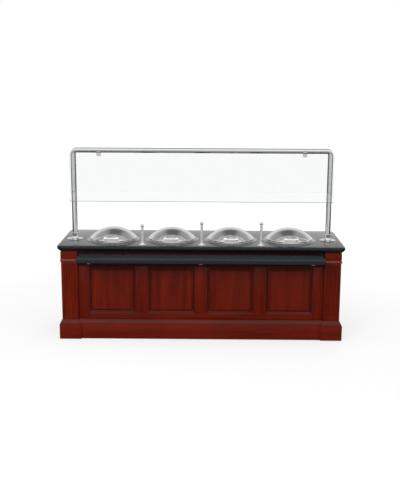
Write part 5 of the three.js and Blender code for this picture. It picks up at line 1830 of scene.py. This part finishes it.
# A knob, as (radius, distance from the panel): its bore, its skirt and its waist
KNOB_BORE = ((0, 0.0135), (0.0043, 0.0135), (0.0043, 0))
KNOB_SKIRT = ((0.0236, 0), (0.024, 0.0004), (0.024, 0.0044), (0.0234, 0.0052))
KNOB_WAIST = ((0.0222, 0.0056), (0.0200, 0.0068), (0.0188, 0.0098), (0.0180, 0.0170), (0.0174, 0.0238))
KNOB_CROWN = ((0.0172, 0.0246), (0.0164, 0.0256), (0.0150, 0.0260))
KNOB_TOP = 0.0260

# Its ribs, its pointer and the white line on the pointer, each by extent along three axes
KNOB_RIBS = 24
KNOB_RIB = ((0.0176, 0.0192), (-0.0008, 0.0008), (0.0075, 0.0195))
POINTER = ((-0.0025, 0.0025), (0.004, 0.0218), (0.008, 0.0278))
POINTER_LINE = ((-0.0009, 0.0009), (0.007, 0.0210), (0.0272, 0.0280))

# The mains inlet: half its size, the mouth of its socket and the pins in it
INLET_HALF = (0.024, 0.020)
INLET_MOUTH = [
    (-0.015, -0.011), (0.015, -0.011), (0.015, 0.006), (0.0105, 0.011), (-0.0105, 0.011), (-0.015, 0.006),
]
INLET_MOUTH_DEPTH = 0.017
INLET_PINS = (-0.008, 0.0, 0.008)
PIN_HALF = (0.0012, 0.003)
PIN_DEPTHS = (0.018, 0.006)


def raised_figure(shell, text, place, size, finish):
    """A plain figure, a fraction of a millimetre high"""
    data = bpy.data.curves.new("figure", "FONT")
    data.body = text
    data.size = size
    data.align_x = "CENTER"
    data.align_y = "CENTER"
    data.extrude = 0.0001
    data.resolution_u = 4
    figure = bpy.data.objects.new("figure", data)
    bpy.context.scene.collection.objects.link(figure)
    bpy.context.view_layer.update()
    mesh = bpy.data.meshes.new_from_object(figure.evaluated_get(bpy.context.evaluated_depsgraph_get()))
    shell.take(mesh, place, finish)
    bpy.data.objects.remove(figure)


class COUNTER_OT_controls(bpy.types.Operator):
    """Folds the control panel, marks its dials, and fits the knobs and the mains inlet"""

    bl_idname = "counter.controls"
    bl_label = "Controls"

    def execute(self, context):
        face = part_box("control_knob_1")[0].y - MIDDLE_Y - FIT
        self.add_panel(face)
        for number in WELL_NUMBERS:
            self.add_knob(number)
        self.add_inlet(face)
        return {"FINISHED"}

    def add_panel(self, face):
        """A folded box behind a fascia, with a shaft for each knob"""
        low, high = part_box("control_panel")
        back = face - FASCIA_THICKNESS
        deep = low.y - MIDDLE_Y
        half = CONTROL_HALF_LENGTH - FIT
        outline = rectangle((-half, half), (CONTROL_LEVELS[0] + FIT, CONTROL_LEVELS[1] - FIT))
        folds = [(0, back + 0.0002), (0, deep), (CONTROL_WALL, deep), (CONTROL_WALL, back - CONTROL_WALL)]
        box = Shell()
        swept(box, outline, folds, REAR, boards=Board(X, Y))
        fascia = rounded((low.x, high.x), (low.z, high.z), 0.004, 4)
        slab(box, fascia, (back, face), REAR, 0.0008, boards=Board(X, Y))
        u, v = -middle_of("power_inlet").x, CONTROL_MIDDLE_Z
        half_u, half_v = INLET_HALF
        hole = Shell()
        cut = rectangle((u - half_u - FIT, u + half_u + FIT), (v - half_v - FIT, v + half_v + FIT))
        swept(hole, cut, [(0, face + OVERRUN), (0, back - OVERRUN)], REAR)
        panel = carved(box, hole, Board(X, Y))
        for number in WELL_NUMBERS:
            x = middle_of(f"control_knob_{number}").x
            shaft = [(x, MIDDLE_Y + back, v), (x, MIDDLE_Y + face + SHAFT_LENGTH, v)]
            rod(panel, *shaft, SHAFT_RADIUS)
            self.mark_dial(panel, -x, face)
        inset_u, inset_v = FASCIA_SCREW_INSET
        for screw_u in (low.x + inset_u, *FASCIA_SCREW_US, high.x - inset_u):
            for screw_v in (low.z + inset_v, high.z - inset_v):
                screw_head(panel, REAR, screw_u, screw_v, face, 0.0042)
        materials = [finish("steel"), finish("marking")]
        piece("control_fascia", panel, materials, "cart", "steel", "control_panel")

    def mark_dial(self, panel, u, face):
        """A mark and a figure for each step of a heat control"""
        for step in range(DIAL_STEPS):
            turn = math.radians(90 - DIAL_SWEEP * step / (DIAL_STEPS - 1))
            at = REAR @ Matrix.Translation((u, CONTROL_MIDDLE_Z, face)) @ Matrix.Rotation(turn, 4, "Z")
            plank(panel, at, *DIAL_MARK, edge=0.0001, finish=1)
            figure_u = u + FIGURE_CIRCLE * math.cos(turn)
            figure_v = CONTROL_MIDDLE_Z + FIGURE_CIRCLE * math.sin(turn)
            at = REAR @ Matrix.Translation((figure_u, figure_v, face + 0.0001))
            raised_figure(panel, str(step), at, FIGURE_SIZE, 1)

    def add_knob(self, number):
        """A ribbed knob with a raised pointer"""
        node = f"control_knob_{number}"
        pivot = joint_place(f"knob_{number}_turn")
        at = placed(-X, Z, Y, (pivot[0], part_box(node)[0].y, pivot[2]))
        profile = [*KNOB_BORE, *KNOB_SKIRT, *through(KNOB_WAIST), *through(KNOB_CROWN), (0, KNOB_TOP)]
        knob = Shell()
        turned(knob, profile, at, 48)
        for step in range(KNOB_RIBS):
            turn = Matrix.Rotation(2 * math.pi * step / KNOB_RIBS, 4, "Z")
            plank(knob, at @ turn, *KNOB_RIB, edge=0.0003)
        plank(knob, at, *POINTER, edge=0.0006)
        plank(knob, at, *POINTER_LINE, edge=0.0002, finish=1)
        materials = [finish("knob"), finish("pointer")]
        piece(f"heat_knob_{number}", knob, materials, f"knob_{number}", "knob_plastic", node)

    def add_inlet(self, face):
        """The inlet's body and flange, with the mouth of its socket and three pins"""
        low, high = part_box("power_inlet")
        front = high.y - MIDDLE_Y
        flange_u, flange_v = (high.x - low.x) / 2, (high.z - low.z) / 2
        half_u, half_v = INLET_HALF
        at = REAR @ Matrix.Translation((-middle_of("power_inlet").x, CONTROL_MIDDLE_Z, 0))
        inlet = Shell()
        body = rounded((-half_u, half_u), (-half_v, half_v), 0.003)
        slab(inlet, body, (low.y - MIDDLE_Y, face + 0.001), at, 0.0008)
        flange = rounded((-flange_u, flange_u), (-flange_v, flange_v), 0.004, 4)
        slab(inlet, flange, (face + FIT, front), at, 0.0012)
        mouth = Shell()
        swept(mouth, INLET_MOUTH, [(0, front + OVERRUN), (0, front - INLET_MOUTH_DEPTH)], at)
        inlet = carved(inlet, mouth)
        half_u, half_v = PIN_HALF
        depth = (front - PIN_DEPTHS[0], front - PIN_DEPTHS[1])
        for u in INLET_PINS:
            plank(inlet, at, (u - half_u, u + half_u), (-half_v, half_v), depth, edge=0.0004, finish=1)
        piece("mains_inlet", inlet, [finish("knob"), finish("steel")], "cart", "knob_plastic", "power_inlet")


# Casters and chassis

WHEEL_RADIUS = 0.050
WHEEL_HALF_WIDTH = 0.016

# Half of a tyre and of a hub, as (radius, distance from the wheel's middle, ease of the corner)
TYRE_HALF = [
    (0.0366, WHEEL_HALF_WIDTH - 0.0040, 0.0),
    (0.0400, WHEEL_HALF_WIDTH - 0.0024, 0.001),
    (WHEEL_RADIUS - 0.0014, WHEEL_HALF_WIDTH - 0.0028, 0.0012),
    (WHEEL_RADIUS, WHEEL_HALF_WIDTH - 0.0075, 0.003),
]
HUB_HALF = (
    (0.0362, -WHEEL_HALF_WIDTH + 0.0045),
    (0.0330, -WHEEL_HALF_WIDTH + 0.006, 0.001),
    (0.0300, -0.004, 0.002),
    (0.0150, -0.004, 0.002),
    (0.0120, -WHEEL_HALF_WIDTH + 0.002, 0.002),
    (0.0066, -WHEEL_HALF_WIDTH + 0.001),
)

# A fork: two cheeks under a crown, and the axle through them
FORK_CHEEKS = ((-0.023, -0.019), (0.019, 0.023))
FORK_DEPTH = (-0.026, 0.028)
FORK_FRONT_DROP = 0.009
FORK_BACK_DROP = 0.020
FORK_END_RADIUS = 0.014
CROWN_HALF_WIDTH = 0.023
CROWN_THICKNESS = 0.008
KINGPIN_BORE = 0.0073
AXLE_RADIUS = 0.006
AXLE_HALF_LENGTH = 0.0255


class COUNTER_OT_casters(bpy.types.Operator):
    """Turns the tyred wheels and presses the forks of the swivel casters"""

    bl_idname = "counter.casters"
    bl_label = "Casters"

    def execute(self, context):
        for corner in CORNERS:
            axle = joint_place(f"wheel_{corner}_roll")
            self.add_wheel(corner, axle)
            self.add_fork(corner, axle)
        return {"FINISHED"}

    def add_wheel(self, corner, axle):
        at = side_on(axle)
        wheel = Shell()
        turned(wheel, eased(both_sides(TYRE_HALF)), at, 64, closed=True)
        turned(wheel, both_sides(eased(HUB_HALF)), at, 64, closed=True, finish=1)
        materials = [finish("tyre"), finish("hub")]
        node = f"caster_wheel_{corner}"
        piece(f"tyred_wheel_{corner}", wheel, materials, f"wheel_{corner}", "caster_rubber", node)

    def add_fork(self, corner, axle):
        node = f"caster_fork_{corner}"
        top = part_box(node)[1].z
        x, y = joint_place(f"swivel_{corner}_turn")[:2]
        front, back = FORK_DEPTH
        trail = axle[1] - y
        cheek = [(front, top), (front, top - FORK_FRONT_DROP)]
        cheek += arc((trail, axle[2]), FORK_END_RADIUS, 180, 360, 12)
        cheek += [(trail + FORK_END_RADIUS, top - FORK_BACK_DROP), (back, top)]
        fork = Shell()
        for heights in FORK_CHEEKS:
            slab(fork, cheek, heights, side_on((x, y, 0)), 0.0008)
        at = Matrix.Translation((x, y, 0))
        crown = Shell()
        plank(crown, at, (-CROWN_HALF_WIDTH, CROWN_HALF_WIDTH), FORK_DEPTH, (top - CROWN_THICKNESS, top))
        hole = Shell()
        turned(hole, [(KINGPIN_BORE, top + OVERRUN), (KINGPIN_BORE, top - FORK_BACK_DROP)], at, 32)
        fork.join(carved(crown, hole))
        ends = [(axle[0] + side * AXLE_HALF_LENGTH, axle[1], axle[2]) for side in (-1, 1)]
        rod(fork, *ends, AXLE_RADIUS)
        piece(f"swivel_fork_{corner}", fork, [finish("steel")], f"swivel_{corner}", "steel", node)


class COUNTER_OT_chassis(bpy.types.Operator):
    """Coats the welded chassis of the frame"""

    bl_idname = "counter.chassis"
    bl_label = "Chassis"

    def execute(self, context):
        mesh = frame["nodes"]["under_frame"].data
        mesh.materials.clear()
        mesh.materials.append(finish("powder_coat"))
        return {"FINISHED"}


class COUNTER_PT_pieces(bpy.types.Panel):
    """Lists the counter's pieces and its settings"""

    bl_idname = "COUNTER_PT_pieces"
    bl_label = "Serving counter"
    bl_space_type = "VIEW_3D"
    bl_region_type = "UI"
    bl_category = "Counter"

    def draw(self, context):
        for operator in OPERATORS:
            self.layout.operator(operator.bl_idname)
        for group in SETTINGS:
            settings = getattr(context.scene, group)
            self.layout.separator()
            for name in SETTINGS[group].__annotations__:
                self.layout.prop(settings, name)


SETTINGS = {
    "counter_wood": WoodSettings,
    "counter_top": TopSettings,
    "counter_metal": MetalSettings,
    "counter_studio": StudioSettings,
}

OPERATORS = (
    COUNTER_OT_stage,
    COUNTER_OT_top,
    COUNTER_OT_wells,
    COUNTER_OT_lids,
    COUNTER_OT_handles,
    COUNTER_OT_posts,
    COUNTER_OT_guard,
    COUNTER_OT_glass,
    COUNTER_OT_tray,
    COUNTER_OT_framing,
    COUNTER_OT_rear_framing,
    COUNTER_OT_pilasters,
    COUNTER_OT_plinth,
    COUNTER_OT_storage,
    COUNTER_OT_controls,
    COUNTER_OT_casters,
    COUNTER_OT_chassis,
)


def register():
    for group in SETTINGS.values():
        bpy.utils.register_class(group)
    for operator in OPERATORS:
        bpy.utils.register_class(operator)
    bpy.utils.register_class(COUNTER_PT_pieces)
    for name, group in SETTINGS.items():
        setattr(bpy.types.Scene, name, PointerProperty(type=group))


def unregister():
    for name in SETTINGS:
        delattr(bpy.types.Scene, name)
    bpy.utils.unregister_class(COUNTER_PT_pieces)
    for operator in reversed(OPERATORS):
        bpy.utils.unregister_class(operator)
    for group in reversed(SETTINGS.values()):
        bpy.utils.unregister_class(group)


def main():
    register()
    for operator in OPERATORS:
        group, name = operator.bl_idname.split(".")
        getattr(getattr(bpy.ops, group), name)()


if __name__ == "__main__":
    main()
